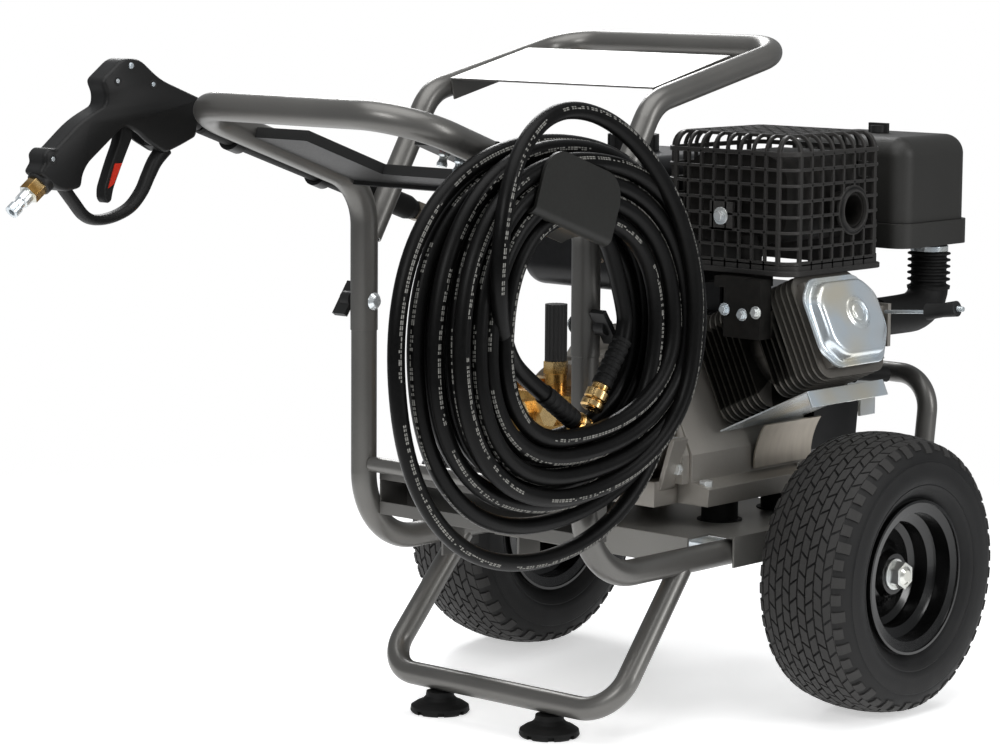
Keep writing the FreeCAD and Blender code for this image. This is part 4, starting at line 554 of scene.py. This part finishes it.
def arch(u0, u1, z0, z1, rad):
    """up one side, over the top and down the other, as (u, z), finely stepped"""
    out_ = []
    k_ = int((z1 - rad - z0) / 4)
    out_ += [(u0, z0 + (z1 - rad - z0) * i / k_) for i in range(k_)]
    out_ += [(u0 + rad - rad * math.cos(PI / 2 * i / 7), z1 - rad + rad * math.sin(PI / 2 * i / 7)) for i in range(8)]
    k_ = int((u1 - u0 - 2 * rad) / 6)
    out_ += [(u0 + rad + (u1 - u0 - 2 * rad) * i / k_, z1) for i in range(1, k_)]
    out_ += [(u1 - rad + rad * math.sin(PI / 2 * i / 7), z1 - rad + rad * math.cos(PI / 2 * i / 7)) for i in range(8)]
    k_ = int((z1 - rad - z0) / 4)
    out_ += [(u1, z1 - rad - (z1 - rad - z0) * i / k_) for i in range(1, k_ + 1)]
    return out_


def split(path, keep):
    run, runs = [], []
    for p_ in path:
        if keep(p_):
            run.append(p_)
        elif run:
            runs.append(run)
            run = []
    if run:
        runs.append(run)
    return [q_ for q_ in runs if len(q_) > 1]


def clear_hole(p_):
    return not (p_[0] > GX1 - 12 and (p_[1] - HOLE_Y) ** 2 + (p_[2] - HOLE_Z) ** 2 < HOLE_R ** 2)


NXB, NYB = 9, 8
for i in range(NXB):
    x = GX0 + GR - 2 + (GX1 - GX0 - 2 * GR + 4) * i / (NXB - 1)
    w_ = 5.4 if i in (0, NXB - 1) else 3.6
    rect_bar([(x, a, b) for a, b in arch(GY0, GY1, GZ0, GZ1, GR)], (1, 0, 0), w_, 4.0)
for j in range(NYB):
    y = GY0 + GR - 2 + (GY1 - GY0 - 2 * GR + 4) * j / (NYB - 1)
    w_ = 5.4 if j in (0, NYB - 1) else 3.6
    for run in split([(a, y, b) for a, b in arch(GX0, GX1, GZ0, GZ1, GR)], clear_hole):
        rect_bar(run, (0, 1, 0), w_, 4.0)


def loop(z, x0, x1, y0, y1, rad):
    out_ = []
    for cx, cy, a0 in ((x1 - rad, y0 + rad, -90), (x1 - rad, y1 - rad, 0), (x0 + rad, y1 - rad, 90), (x0 + rad, y0 + rad, 180)):
        out_ += [(cx + rad * math.cos(math.radians(a0 + 90 * i / 8)), cy + rad * math.sin(math.radians(a0 + 90 * i / 8)), z) for i in range(9)]
    res = []
    for a, b in zip(out_, out_[1:] + out_[:1]):
        k_ = max(1, int(math.dist(a, b) / 4))
        res += [tuple(a[q_] + (b[q_] - a[q_]) * i / k_ for q_ in range(3)) for i in range(k_)]
    return res


for k in range(8):
    z = GZ0 + 14 + (GZ1 - GR - GZ0 - 14) * k / 7
    lp_ = loop(z, GX0, GX1, GY0, GY1, GR)
    if all(clear_hole(p_) for p_ in lp_):
        rect_bar(lp_, (0, 0, 1), 5.4 if k in (0, 7) else 3.6, 4.0, closed=True)
    else:
        cut_ = next(i for i, p_ in enumerate(lp_) if not clear_hole(p_))
        for run in split(lp_[cut_:] + lp_[:cut_], clear_hole):
            rect_bar(run, (0, 0, 1), 3.6, 4.0)
rect_bar(loop(GZ0 + 3.0, GX0 - 2.9, GX1 + 2.9, GY0 - 2.9, GY1 + 2.9, GR), (0, 0, 1), 6.0, 6.5, closed=True)
rect_bar(loop(GZ0 + 9.0, GX0, GX1, GY0, GY1, GR), (0, 0, 1), 10.0, 3.0, closed=True)
# pipe ring, its short collar and the solid pad for the fixing screw
gm.lathe([(a / 1000, b_ / 1000) for a, b_ in ((-9, 22), (3, 22), (3, 24.2), (0.3, 26.4), (0.3, 29.5), (-3.6, 29.5), (-3.6, 26.4), (-9, 24.2))], V3(GX1, HOLE_Y, HOLE_Z),
         (1, 0, 0), n=48, closed=True)


def slab(c, sx_, sy_, sz_, q):
    a, b_, c_ = sx_ / 2, sy_ / 2, sz_ / 2
    vs = [V3(c[0] + i * a, c[1] + j * b_, c[2] + k_ * c_) for k_ in (-1, 1) for i, j in ((-1, -1), (1, -1), (1, 1), (-1, 1))]
    q.add(vs, [(3, 2, 1, 0), (4, 5, 6, 7), (0, 1, 5, 4), (1, 2, 6, 5), (2, 3, 7, 6), (3, 0, 4, 7)])


slab((98.0, GY0 + 2.0, 578.0), 34, 4.0, 34, gm)
# back and side sheets inside the lattice: dark plates standing in for the shade inside the guard, closing the view
# under the muffler
slab((104.5, GY1 - 8.0, 541), 180, 1.5, 56, gm)
slab((GX0 + 7.0, 13.0, 541), 1.5, 160, 56, gm)
guard = gm.done("guard_lattice", M["guard"], angle=28.0)
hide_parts("muffler_guard")


def hex_bolt(q, c, axis, flats=10.0, head=6.0, washer=9.0, turn=0.3):
    """washer, hexagon head with a chamfered top"""
    o_ = V3(*c)
    r_ = flats / math.sqrt(3) / 1000.0
    q.lathe([(0.0, 0.0), (0.0, washer / 1000), (0.0010, washer / 1000), (0.0013, washer / 1000 - 0.0003), (0.0013, 0.0)], o_, axis, n=32)
    q.lathe([(0.0013, 0.0), (0.0013, r_), (head / 1000 - 0.0008, r_), (head / 1000, r_ * 0.87), (head / 1000, 0.0)], o_, axis, n=6, phase=turn)


bolts_new = Mesh()
hex_bolt(bolts_new, (98.0, GY0 - 0.05, 578.0), (0, -1, 0), 11.0, 7.0, 10.5)
for c in ((120.0, -98.05, 470.5), (146.0, -98.05, 466.0), (166.0, -98.05, 470.0)):
    hex_bolt(bolts_new, c, (0, -1, 0), 9.0, 6.0, 7.5, 0.1)
bolts_new.done("shroud_screws", M["zinc"], angle=25.0)

# ------------------------------------------------------------------ rocker cover: rolled double rim, domed crown, ringed emboss
CA = math.radians(25.0)
CUx, CUz = math.cos(CA), math.sin(CA)
VC_O = V3(CUx * 252.8, -10.0, 351.5 + CUz * 252.8)
VU, VN, VY = Vector((CUx, 0, CUz)), Vector((-CUz, 0, CUx)), Vector((0, 1, 0))


def octo(hw_, hh_, k, sh, rad, seg=6):
    """eight-sided outline with rounded corners, in (across, up)"""
    pts_ = [(-hw_ + k, -hh_), (hw_ - k, -hh_), (hw_, -hh_ + k + sh), (hw_, hh_ - k), (hw_ - k, hh_), (-hw_ + k, hh_), (-hw_, hh_ - k), (-hw_, -hh_ + k)]
    out_ = []
    n_ = len(pts_)
    for i in range(n_):
        a, b, c = Vector(pts_[i - 1]), Vector(pts_[i]), Vector(pts_[(i + 1) % n_])
        d1, d2 = (a - b).normalized(), (c - b).normalized()
        p1, p2 = b + d1 * rad, b + d2 * rad
        for j in range(seg + 1):
            t_ = j / seg
            out_.append(tuple(p1 * (1 - t_) ** 2 + b * 2 * t_ * (1 - t_) + p2 * t_ ** 2))
    return out_


vm = Mesh()
rings = [((66.0, 55.0, 22.0, 6.0), 9.0, 0.0), ((66.0, 55.0, 22.0, 6.0), 9.0, 2.6), ((65.4, 54.4, 21.8, 6.0), 9.0, 3.6), ((64.0, 53.0, 21.4, 6.0), 9.0, 4.0),
         ((62.4, 51.4, 21.0, 6.0), 9.0, 3.6), ((61.2, 50.2, 20.7, 6.0), 9.0, 2.9), ((60.2, 49.2, 20.5, 6.0), 9.0, 3.0), ((59.2, 48.2, 20.3, 6.0), 9.0, 4.2),
         ((58.6, 47.6, 20.2, 6.0), 9.0, 6.5), ((57.6, 46.6, 20.0, 6.0), 9.5, 11.5), ((56.6, 45.6, 19.8, 6.0), 10.0, 14.6), ((54.6, 43.6, 19.2, 6.0), 10.0, 16.8),
         ((51.6, 40.6, 18.4, 6.0), 10.0, 17.8), ((47.0, 36.0, 17.0, 5.0), 10.0, 18.2)]
vs_, nn = [], None
for (hw_, hh_, k_, sh_), rad_, h_ in rings:
    o_ = octo(hw_, hh_, k_, sh_, rad_)
    nn = len(o_)
    vs_ += [VC_O + VY * (a / 1000) + VN * (b / 1000) + VU * (h_ / 1000) for a, b in o_]
fs_ = [tuple(range(nn - 1, -1, -1))]
for i in range(len(rings) - 1):
    for j in range(nn):
        a0, a1 = i * nn + j, i * nn + (j + 1) % nn
        fs_.append((a0, a1, a1 + nn, a0 + nn))
last = (len(rings) - 1) * nn
fs_.append(tuple(last + j for j in range(nn)))
vm.add(vs_, fs_)
eo = VC_O + VY * 0.006 + VN * 0.004 + VU * 0.0181
vm.lathe([(-0.001, 0.0215), (0.0002, 0.0205), (0.0016, 0.0185), (0.0024, 0.0165), (0.0020, 0.0150), (0.0008, 0.0138), (0.0008, 0.0105), (0.0020, 0.0095), (0.0028, 0.0070),
          (0.0028, 0.0)], eo, VU, n=56)
cover = vm.done("rocker_cover", M["zinc"], angle=40.0)
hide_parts("valve_cover")

# ------------------------------------------------------------------ gun: moulded body with a round hand guard, and its trigger
GX = -215.0


def sq(c):
    return math.copysign(abs(c) ** 0.8, c)


def soft(points):
    """outline of (y, z, corner radius) with rounded corners"""
    out_ = []
    n_ = len(points)
    for i in range(n_):
        a, b, c = Vector(points[i - 1][:2]), Vector(points[i][:2]), Vector(points[(i + 1) % n_][:2])
        rr = min(points[i][2], (a - b).length * 0.45, (c - b).length * 0.45)
        p1, p2 = b + (a - b).normalized() * rr, b + (c - b).normalized() * rr
        for j in range(5):
            t_ = j / 4
            out_.append(tuple(p1 * (1 - t_) ** 2 + b * 2 * t_ * (1 - t_) + p2 * t_ ** 2))
    return out_


def inset(outl, d):
    n_ = len(outl)
    area_ = sum(outl[i][0] * outl[(i + 1) % n_][1] - outl[(i + 1) % n_][0] * outl[i][1] for i in range(n_))
    sg = 1 if area_ > 0 else -1
    res = []
    for i in range(n_):
        a, b, c = Vector(outl[i - 1]), Vector(outl[i]), Vector(outl[(i + 1) % n_])
        t_ = ((b - a).normalized() + (c - b).normalized())
        t_ = t_.normalized() if t_.length > 1e-6 else (c - b).normalized()
        res.append((b.x - t_.y * d * sg, b.y + t_.x * d * sg))
    return res


def layer(q, rings):
    """closed skin through outlines, each (x, outline) in design mm"""
    vs, fs = [], []
    n_ = len(rings[0][1])
    for x, outl in rings:
        vs += [V3(x, y, z) for y, z in outl]
    fs.append(tuple(range(n_ - 1, -1, -1)))
    for i in range(len(rings) - 1):
        for j in range(n_):
            a0, a1 = i * n_ + j, i * n_ + (j + 1) % n_
            fs.append((a0, a1, a1 + n_, a0 + n_))
    fs.append(tuple((len(rings) - 1) * n_ + j for j in range(n_)))
    q.add(vs, fs)


HEAD = [(-778, 746, 6), (-747, 769, 9), (-723, 768, 9), (-693, 745, 14), (-634, 722.6, 3), (-641, 680, 4), (-664, 671, 12), (-686, 664, 6)]
GRIP = [(-798, 658, 14), (-806, 646, 8), (-808, 632, 6), (-829, 629, 5), (-843, 633, 6), (-866, 651, 5), (-858, 661, 3), (-860, 670, 4), (-852, 677, 4),
        (-843, 675, 4), (-806, 704, 30), (-772, 719, 6), (-771, 731, 5)]
whole = soft(HEAD + [(-713, 678, 5), (-724, 687, 5), (-745, 697, 8)] + GRIP)
notched = soft(HEAD + [(-699.6, 672, 0.5), (-699.6, 715, 1), (-764.4, 715, 1), (-764.4, 683.5, 0.5)] + GRIP)
gb = Mesh()
for sgn in (-1, 1):
    layer(gb, [(GX + sgn * 8.3, whole), (GX + sgn * 11.2, whole), (GX + sgn * 12.9, inset(whole, 0.6)), (GX + sgn * 14.2, inset(whole, 1.7)),
               (GX + sgn * 15.0, inset(whole, 3.4))])
layer(gb, [(GX - 8.35, notched), (GX + 8.35, notched)])
LUV = Vector((0.000000, 0.944949, -0.327218))
lb = V3(GX, -634.0, 701.0)
gb.tube([lb - LUV * 0.004, lb + LUV * 0.0085, lb + LUV * 0.010], [0.013, 0.013, 0.0118], n=36)
body = gb.done("spray_gun_body", M["black_plastic"], body="gun", angle=28.0)
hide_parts("gun_body")
# hand guard: one oval bar from under the head round to the foot of the grip
ctrl = [(-676, 668), (-690, 655), (-700, 640), (-711, 622), (-728, 606), (-752, 597), (-777, 595), (-794, 601), (-810, 618), (-824, 634), (-834, 644)]
line_ = []
for i in range(len(ctrl) - 1):
    p0, p1, p2, p3 = [Vector(ctrl[max(0, min(len(ctrl) - 1, i + k_))]) for k_ in (-1, 0, 1, 2)]
    for j in range(6):
        t_ = j / 6
        line_.append(0.5 * ((2 * p1) + (p2 - p0) * t_ + (2 * p0 - 5 * p1 + 4 * p2 - p3) * t_ ** 2 + (3 * p1 - p0 - 3 * p2 + p3) * t_ ** 3))
line_.append(Vector(ctrl[-1]))
hg = Mesh()
vs, fs, n_ = [], [], 20
for i, c in enumerate(line_):
    t_ = (line_[min(i + 1, len(line_) - 1)] - line_[max(i - 1, 0)]).normalized()
    nn_ = Vector((-t_.y, t_.x))
    u_ = i / (len(line_) - 1)
    hw_ = 5.4 + 3.6 * (1 - u_) ** 3 + 1.0 * u_ ** 2
    for j in range(n_):
        an = 2 * PI * j / n_
        vs.append(V3(GX + 8.0 * sq(math.cos(an)), c.x + nn_.x * hw_ * sq(math.sin(an)), c.y + nn_.y * hw_ * sq(math.sin(an))))
for i in range(len(line_) - 1):
    for j in range(n_):
        a0, a1 = i * n_ + j, i * n_ + (j + 1) % n_
        fs.append((a0, a1, a1 + n_, a0 + n_))
fs.append(tuple(range(n_ - 1, -1, -1)))
fs.append(tuple((len(line_) - 1) * n_ + j for j in range(n_)))
hg.add(vs, fs)
hg.done("gun_hand_guard", M["black_plastic"], body="gun", angle=50.0)
tg = Mesh()
tro = soft([(-744, 701, 5), (-736, 706.5, 6), (-728, 701, 5), (-728, 684, 8), (-741, 660, 20), (-757, 628, 8), (-760, 615, 4), (-765.5, 612.3, 4), (-770, 618, 4), (-770, 629, 8),
            (-758, 658, 20), (-747, 680, 10)])
layer(tg, [(GX - 7.5, inset(tro, 1.5)), (GX - 6.9, inset(tro, 0.5)), (GX - 6.0, tro), (GX + 6.0, tro), (GX + 6.9, inset(tro, 0.5)), (GX + 7.5, inset(tro, 1.5))])
trig = tg.done("trigger_blade", M["black_plastic"], body="trigger", angle=30.0)
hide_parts("gun_trigger")

# ------------------------------------------------------------------ gun trimmings
gt = Mesh()
ins = [(-755.5, 655.5), (-745.5, 655.5), (-757.5, 633.0), (-765.5, 629.0)]
for sgn in (-1, 1):
    o_ = V3(-215.0 + sgn * 7.4, 0, 0) - Vector((0, YD, 0))
    outl = [((y_) / 1000.0, z_ / 1000.0) for y_, z_ in ins]
    gt.prism(outl, (-0.215 + sgn * 0.0074, YD, 0.0), (0, 1, 0), (0, 0, 1), (sgn, 0, 0), 0.0012, 0.0006)
gt.done("trigger_insert", M["red"], body="trigger", angle=30.0)
gs_ = Mesh()
for (y_, z_) in ((-756.5, 745.0), (-705.0, 740.0), (-848.5, 665.0)):
    for sgn in (-1, 1):
        gs_.lathe([(0.0, 0.0), (0.0, 0.0052), (0.0004, 0.0052), (0.0004, 0.0038), (0.0002, 0.0036), (0.0002, 0.0)], V3(-215.0 + sgn * 15.0, y_, z_), (sgn, 0, 0), n=28)
gs_.done("gun_screw_seats", M["black_plastic"], body="gun", angle=25.0)
gp_ = Mesh()
gp_.lathe([(-0.0002, 0.0), (-0.0002, 0.0034), (0.0008, 0.0034), (0.0011, 0.0028), (0.0011, 0.0)], V3(-200.0, -737.2, 761.0), (1, 0, 0), n=24)
for (y_, z_) in ((-756.5, 745.0), (-705.0, 740.0), (-848.5, 665.0)):
    gp_.lathe([(0.0002, 0.0), (0.0002, 0.0026), (0.0005, 0.0024), (0.0005, 0.0)], V3(-200.0, y_, z_), (1, 0, 0), n=20)
gp_.done("gun_pins", M["zinc"], body="gun", angle=25.0)
# black swivel collar round the grip's end, ahead of the brass nut
gc_ = Mesh()
gd_ = Vector((0, -0.80, -0.60))
gc_.lathe([(-0.006, 0.0), (-0.006, 0.0125), (-0.0045, 0.0142), (0.0, 0.0145), (0.0085, 0.0142), (0.0100, 0.0130), (0.0100, 0.0)], V3(-215.0, -853.0, 640.5) - gd_ * 0.004,
          gd_, n=40)
gc_.done("swivel_collar", M["black_plastic"], body="gun", angle=30.0)


def gun_along(x, y, z):
    return 0 if (-(y + 853.0) * 0.80 - (z - 640.5) * 0.60) < 20.5 else 1


paint("gun_inlet", ["brass", "zinc"], gun_along)

# ------------------------------------------------------------------ spray tip collars: one colour each
tb = [NODES["nozzle_tips"].matrix_world @ v.co for v in NODES["nozzle_tips"].data.vertices]
ty1_, ty0_ = max(v.y for v in tb) - 0.0115, min(v.y for v in tb) + 0.0115
tz_at = {}


def tip_index(y):
    return max(0, min(4, int(round(((ty1_ - (y / 1000.0 + YD)) / (ty1_ - ty0_)) * 4))))


for v in tb:
    k_ = tip_index((v.y - YD) * 1000.0)
    lo_, hi_ = tz_at.get(k_, (9.0, -9.0))
    tz_at[k_] = (min(lo_, v.z), max(hi_, v.z))


def tip_pick(x, y, z):
    k_ = tip_index(y)
    lo_, hi_ = tz_at[k_]
    return k_ if (z / 1000.0 - lo_) / (hi_ - lo_) > 0.58 else 5


paint("nozzle_tips", ["black_plastic", "white", "green", "orange", "red", "zinc"], tip_pick)

# ------------------------------------------------------------------ intake boot: corrugated sleeve on a moulded elbow
ib = Mesh()
BX, BY = 174.8, 240.0
prof = [(0.0, 0.0), (0.0, 0.0262), (0.004, 0.0268)]
zb = 0.005
for k in range(5):
    prof += [(zb + 0.0010, 0.0225), (zb + 0.0022, 0.0218), (zb + 0.0038, 0.0218), (zb + 0.0050, 0.0228), (zb + 0.0060, 0.0262), (zb + 0.0070, 0.0267), (zb + 0.0080, 0.0262)]
    zb += 0.008
prof += [(zb + 0.0012, 0.0220), (0.0558, 0.0220), (0.0558, 0.0)]
ib.lathe(prof, V3(BX, BY, 473.6), (0, 0, 1), n=56)
bend = [(BX, 128.9, 446.6), (BX, 150, 446.6), (BX, 175, 446.6), (BX, 196, 446.8)]
bend += [(BX, 196 + 44 * math.sin(PI / 2 * i / 8), 446.8 + 30 * (1 - math.cos(PI / 2 * i / 8))) for i in range(1, 9)]
ib.tube([V3(*q_) for q_ in bend], [0.0235, 0.0235, 0.0238, 0.0242] + [0.0245] * 8, n=40)
boot = ib.done("intake_elbow_boot", M["rubber"], angle=40.0)
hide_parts("intake_boot")
cr = Mesh()
cr.lathe([(0.0, 0.0222), (0.0, 0.0232), (0.0065, 0.0232), (0.0065, 0.0222)], V3(BX, BY, 520.8), (0, 0, 1), n=56, closed=True)
cr.tube([V3(*(202.1, 110.0, 457.3)), V3(*(254.6, 118.0, 460.9))], 0.0022, n=16)
cr.tube([V3(300.1 + 1, 118.0, 468.3), V3(300.1 + 9, 118.0, 468.3)], [0.0036, 0.0030], n=16)
cr.done("carburettor_linkage", M["zinc"], angle=35.0)
ck = Mesh()
ck.tube([V3(*(258.9, 118.0, 461.3)), V3((258.9 + 300.1) / 2, 118.0, (461.3 + 468.3) / 2), V3(*(300.1, 118.0, 468.3))], [0.010, 0.0085, 0.0095], n=24)
ck.done("choke_knob", M["black_plastic"], angle=35.0)


# ------------------------------------------------------------------ hose
HOSE_D = 0.0185
# every turn by its four stations: right, top, left, bottom, each (across X, extent)
# across X, then y for the sides and z for the top and bottom, design millimetres
TURNS = [
    # right (x, y)      top (x, z)       left (x, y)       bottom (x, z)
    [(222, -408), (226, 620), (216, -632), (208, 371)],
    [(204, -368), (201, 612), (199, -648), (200, 352)],
    [(201, -349), (200, 631), (201, -668), (202, 333)],
    [(200, -328), (202, 650), (199, -689), (201, 312)],
    [(202, -304), (201, 668), (202, -712), (204, 280)],
    [(203, -278), (203, 687), (201, -739), (202, 240)],
    [(212, -300), (224, 681), (222, -704), (223, 303)],
    [(224, -322), (222, 660), (225, -679), (224, 324)],
    [(223, -345), (224, 640), (224, -656), (229, 346)],
    [(240, -372), (246, 613), (247, -626), (246, 378)],
    [(248, -352), (248, 632), (246, -648), (247, 357)],
    [(247, -332), (247, 651), (249, -670), (246, 336)],
    [(250, -312), (249, 670), (248, -694), (249, 315)],
]
LAST_RIGHT = (262, -330)
YC, ZC = -524.0, 484.0
rng = np.random.default_rng(7)


def se(c, n=2.25):
    return math.copysign(abs(c) ** (2.0 / n), c)


def station(k, q):
    if k < len(TURNS):
        return TURNS[k][q]
    return LAST_RIGHT


route = []
PER = 16
jit = rng.normal(0, 1.0, (40, 3))
for k in range(len(TURNS)):
    (xr, yr), (xt, zt), (xl, yl), (xb, zb) = TURNS[k]
    xr2, yr2 = station(k + 1, 0)
    for i in range(PER):
        if k == 0 and i == 0:
            continue
        th = 2 * PI * i / PER
        q = i * 4 // PER
        f = (i * 4 % PER) / PER
        xs = [xr, xt, xl, xb, xr2]
        g = f * f * (3 - 2 * f)
        x = xs[q] * (1 - g) + xs[q + 1] * g
        ext_y = (yr if q == 0 else yl if q in (1, 2) else yr2) - YC
        ext_z = (zt if q in (0, 1) else zb) - ZC
        c, s_ = math.cos(th), math.sin(th)
        y = YC + abs(se(c)) * ext_y * 1.018
        z = ZC + abs(se(s_)) * ext_z * 1.018
        w = 0.5 + 0.5 * math.sin(th * 1.0 + k)
        j = jit[k]
        route.append((x + 0.5 * j[0] * math.sin(2 * th), y + 1.2 * j[1] * math.sin(2 * th + 1.0), z + 1.2 * j[2] * math.sin(2 * th + 2.0)))
START = [(222.0, -408.0, 470.0), (221.6, -404.0, 482.0), (221.5, -402.5, 500.0)]
# the last turn springs up off the pile, crosses over the others and runs down into the coupler
END = [
    (262, -330, 484), (263, -336, 540), (262, -354, 592), (260, -384, 640), (257, -424, 682), (253, -466, 710), (250, -510, 724), (251, -554, 724),
    (256, -594, 708), (263, -628, 680), (270, -652, 640), (272, -662, 596), (268, -660, 552), (256, -644, 516), (242, -622, 489), (233, -600, 465),
    (229, -574, 445), (228, -543, 425),
]
pts = START + route[1:] + END
pts_m = [V3(*p) for p in pts]
cu = bpy.data.curves.new("high_pressure_hose", "CURVE")
cu.dimensions = "3D"
sp = cu.splines.new("NURBS")
sp.points.add(len(pts_m) - 1)
for p, c in zip(sp.points, pts_m):
    p.co = (*c, 1.0)
sp.order_u = 3
sp.use_endpoint_u = True
cu.resolution_u = 8
cu.bevel_depth = HOSE_D / 2
cu.bevel_resolution = 6
cu.use_fill_caps = True
cu.materials.append(M["hose"])
hose = bpy.data.objects.new("high_pressure_hose", cu)
COL.objects.link(hose)
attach(hose, "root")
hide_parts("hose_coil", "hose_tail")


def centreline():
    c = cu.copy()
    c.bevel_depth = 0.0
    c.use_fill_caps = False
    tmp = bpy.data.objects.new("tmp_line", c)
    me = bpy.data.meshes.new_from_object(tmp)
    line = np.array([v.co for v in me.vertices], float)
    bpy.data.objects.remove(tmp)
    bpy.data.meshes.remove(me)
    bpy.data.curves.remove(c)
    return line


LINE = centreline()
ALONG = np.concatenate([[0], np.cumsum(np.linalg.norm(np.diff(LINE, axis=0), axis=1))])
HOSE_LEN = float(ALONG[-1])
print("hose length", round(HOSE_LEN, 3))


def on_line(s):
    return Vector([float(np.interp(s, ALONG, LINE[:, k])) for k in range(3)])


# printed dashes along the hose: short raised marks in two rows that wander slowly round it
pm = Mesh()
mid = V3(230, YC, ZC)
s = 0.10
R = HOSE_D / 2 + 0.00012
while s < HOSE_LEN - 0.25:
    group_end = s + rng.uniform(0.16, 0.24)
    while s < group_end:
        dash = rng.choice([0.0028, 0.0042, 0.0060], p=[0.5, 0.35, 0.15])
        for row in (-1, 1):
            if rng.random() < 0.12:
                continue
            n = 3
            verts = []
            for i in range(n + 1):
                ss = s + dash * i / n
                p, p2 = on_line(ss), on_line(ss + 0.002)
                t = (p2 - p).normalized()
                outv = (p - mid)
                outv.x = 0
                outv = (outv - t * outv.dot(t)).normalized()
                side = t.cross(outv).normalized()
                if side.x < 0:
                    side = -side
                # the print faces the right-hand side and wanders
                wob = math.radians(38 + 30 * math.sin(s * 1.7) + 18 * math.sin(s * 4.1 + 1.0)) + row * 0.105
                for da in (-0.07, 0.07):
                    an = wob + da
                    verts.append(p + (side * math.cos(an) + outv * math.sin(an)) * R)
            faces = [(2 * i, 2 * i + 1, 2 * i + 3, 2 * i + 2) for i in range(n)]
            pm.add(verts, faces)
        s += dash + rng.choice([0.0012, 0.0016, 0.0042], p=[0.5, 0.35, 0.15])
    s += rng.uniform(0.02, 0.05)
hose_print = pm.done("hose_print", M["white_print"], smooth=False)

# ------------------------------------------------------------------ floor, backdrop, light
fl = bpy.data.meshes.new("floor")
fl.from_pydata([(-14, -14, 0), (14, -14, 0), (14, 14, 0), (-14, 14, 0)], [], [(0, 1, 2, 3)])
floor = bpy.data.objects.new("floor", fl)
COL.objects.link(floor)
mt, nt, bs = new_mat("floor_mat")
vec = coords(nt)
nt.links.new(ramp(nt, noise(nt, vec, 3.0, 2.0), [(0.3, (0.93, 0.93, 0.93)), (0.7, (0.95, 0.95, 0.95))]), bs.inputs["Base Color"])
bs.inputs["Roughness"].default_value = 0.55
bs.inputs["Emission Color"].default_value = (1.0, 1.0, 1.0, 1.0)
bs.inputs["Emission Strength"].default_value = 0.50
tcf = nt.nodes.new("ShaderNodeTexCoord")
ln = nt.nodes.new("ShaderNodeVectorMath")
ln.operation = "LENGTH"
nt.links.new(tcf.outputs["Object"], ln.inputs[0])
fade = nt.nodes.new("ShaderNodeMapRange")
fade.interpolation_type = "SMOOTHSTEP"
fade.inputs["From Min"].default_value = 0.75
fade.inputs["From Max"].default_value = 1.9
nt.links.new(ln.outputs["Value"], fade.inputs["Value"])
clear = nt.nodes.new("ShaderNodeBsdfTransparent")
mxf = nt.nodes.new("ShaderNodeMixShader")
nt.links.new(fade.outputs["Result"], mxf.inputs[0])
nt.links.new(bs.outputs[0], mxf.inputs[1])
nt.links.new(clear.outputs[0], mxf.inputs[2])
fo = [n for n in nt.nodes if n.type == "OUTPUT_MATERIAL"][0]
nt.links.new(mxf.outputs[0], fo.inputs[0])
fl.materials.append(mt)

world = bpy.data.worlds.new("studio")
SC.world = world
world.use_nodes = True
wn = world.node_tree
wn.nodes.clear()
wo = wn.nodes.new("ShaderNodeOutputWorld")
bg = wn.nodes.new("ShaderNodeBackground")
bg.inputs[0].default_value = (1.0, 1.0, 1.0, 1.0)
bg.inputs[1].default_value = 1.0
dim = wn.nodes.new("ShaderNodeBackground")
dim.inputs[0].default_value = (0.94, 0.97, 1.0, 1.0)
dim.inputs[1].default_value = 0.26
lp = wn.nodes.new("ShaderNodeLightPath")
mxs = wn.nodes.new("ShaderNodeMixShader")
wn.links.new(lp.outputs["Is Camera Ray"], mxs.inputs[0])
wn.links.new(dim.outputs[0], mxs.inputs[1])
wn.links.new(bg.outputs[0], mxs.inputs[2])
wn.links.new(mxs.outputs[0], wo.inputs[0])


def area(name, loc, target, size, power, colour=(1, 1, 1)):
    d = bpy.data.lights.new(name, "AREA")
    d.shape, d.size, d.size_y, d.energy, d.color = "RECTANGLE", size[0], size[1], power, colour
    o = bpy.data.objects.new(name, d)
    COL.objects.link(o)
    o.location = loc
    o.rotation_euler = (Vector(target) - Vector(loc)).to_track_quat("-Z", "Y").to_euler()
    return o


area("top_light", (0.3, -0.6, 3.4), (0, 0, 0.4), (3.4, 3.0), 78)
area("key_light", (1.0, -3.4, 2.3), (0, 0, 0.4), (1.6, 1.0), 44)
area("side_light", (3.6, 0.9, 1.7), (0, 0, 0.4), (0.7, 2.2), 46)
area("fill_light", (-2.6, 2.2, 2.4), (0, 0, 0.4), (1.4, 1.4), 55)

SC.view_settings.view_transform = "Standard"
SC.view_settings.look = "None"
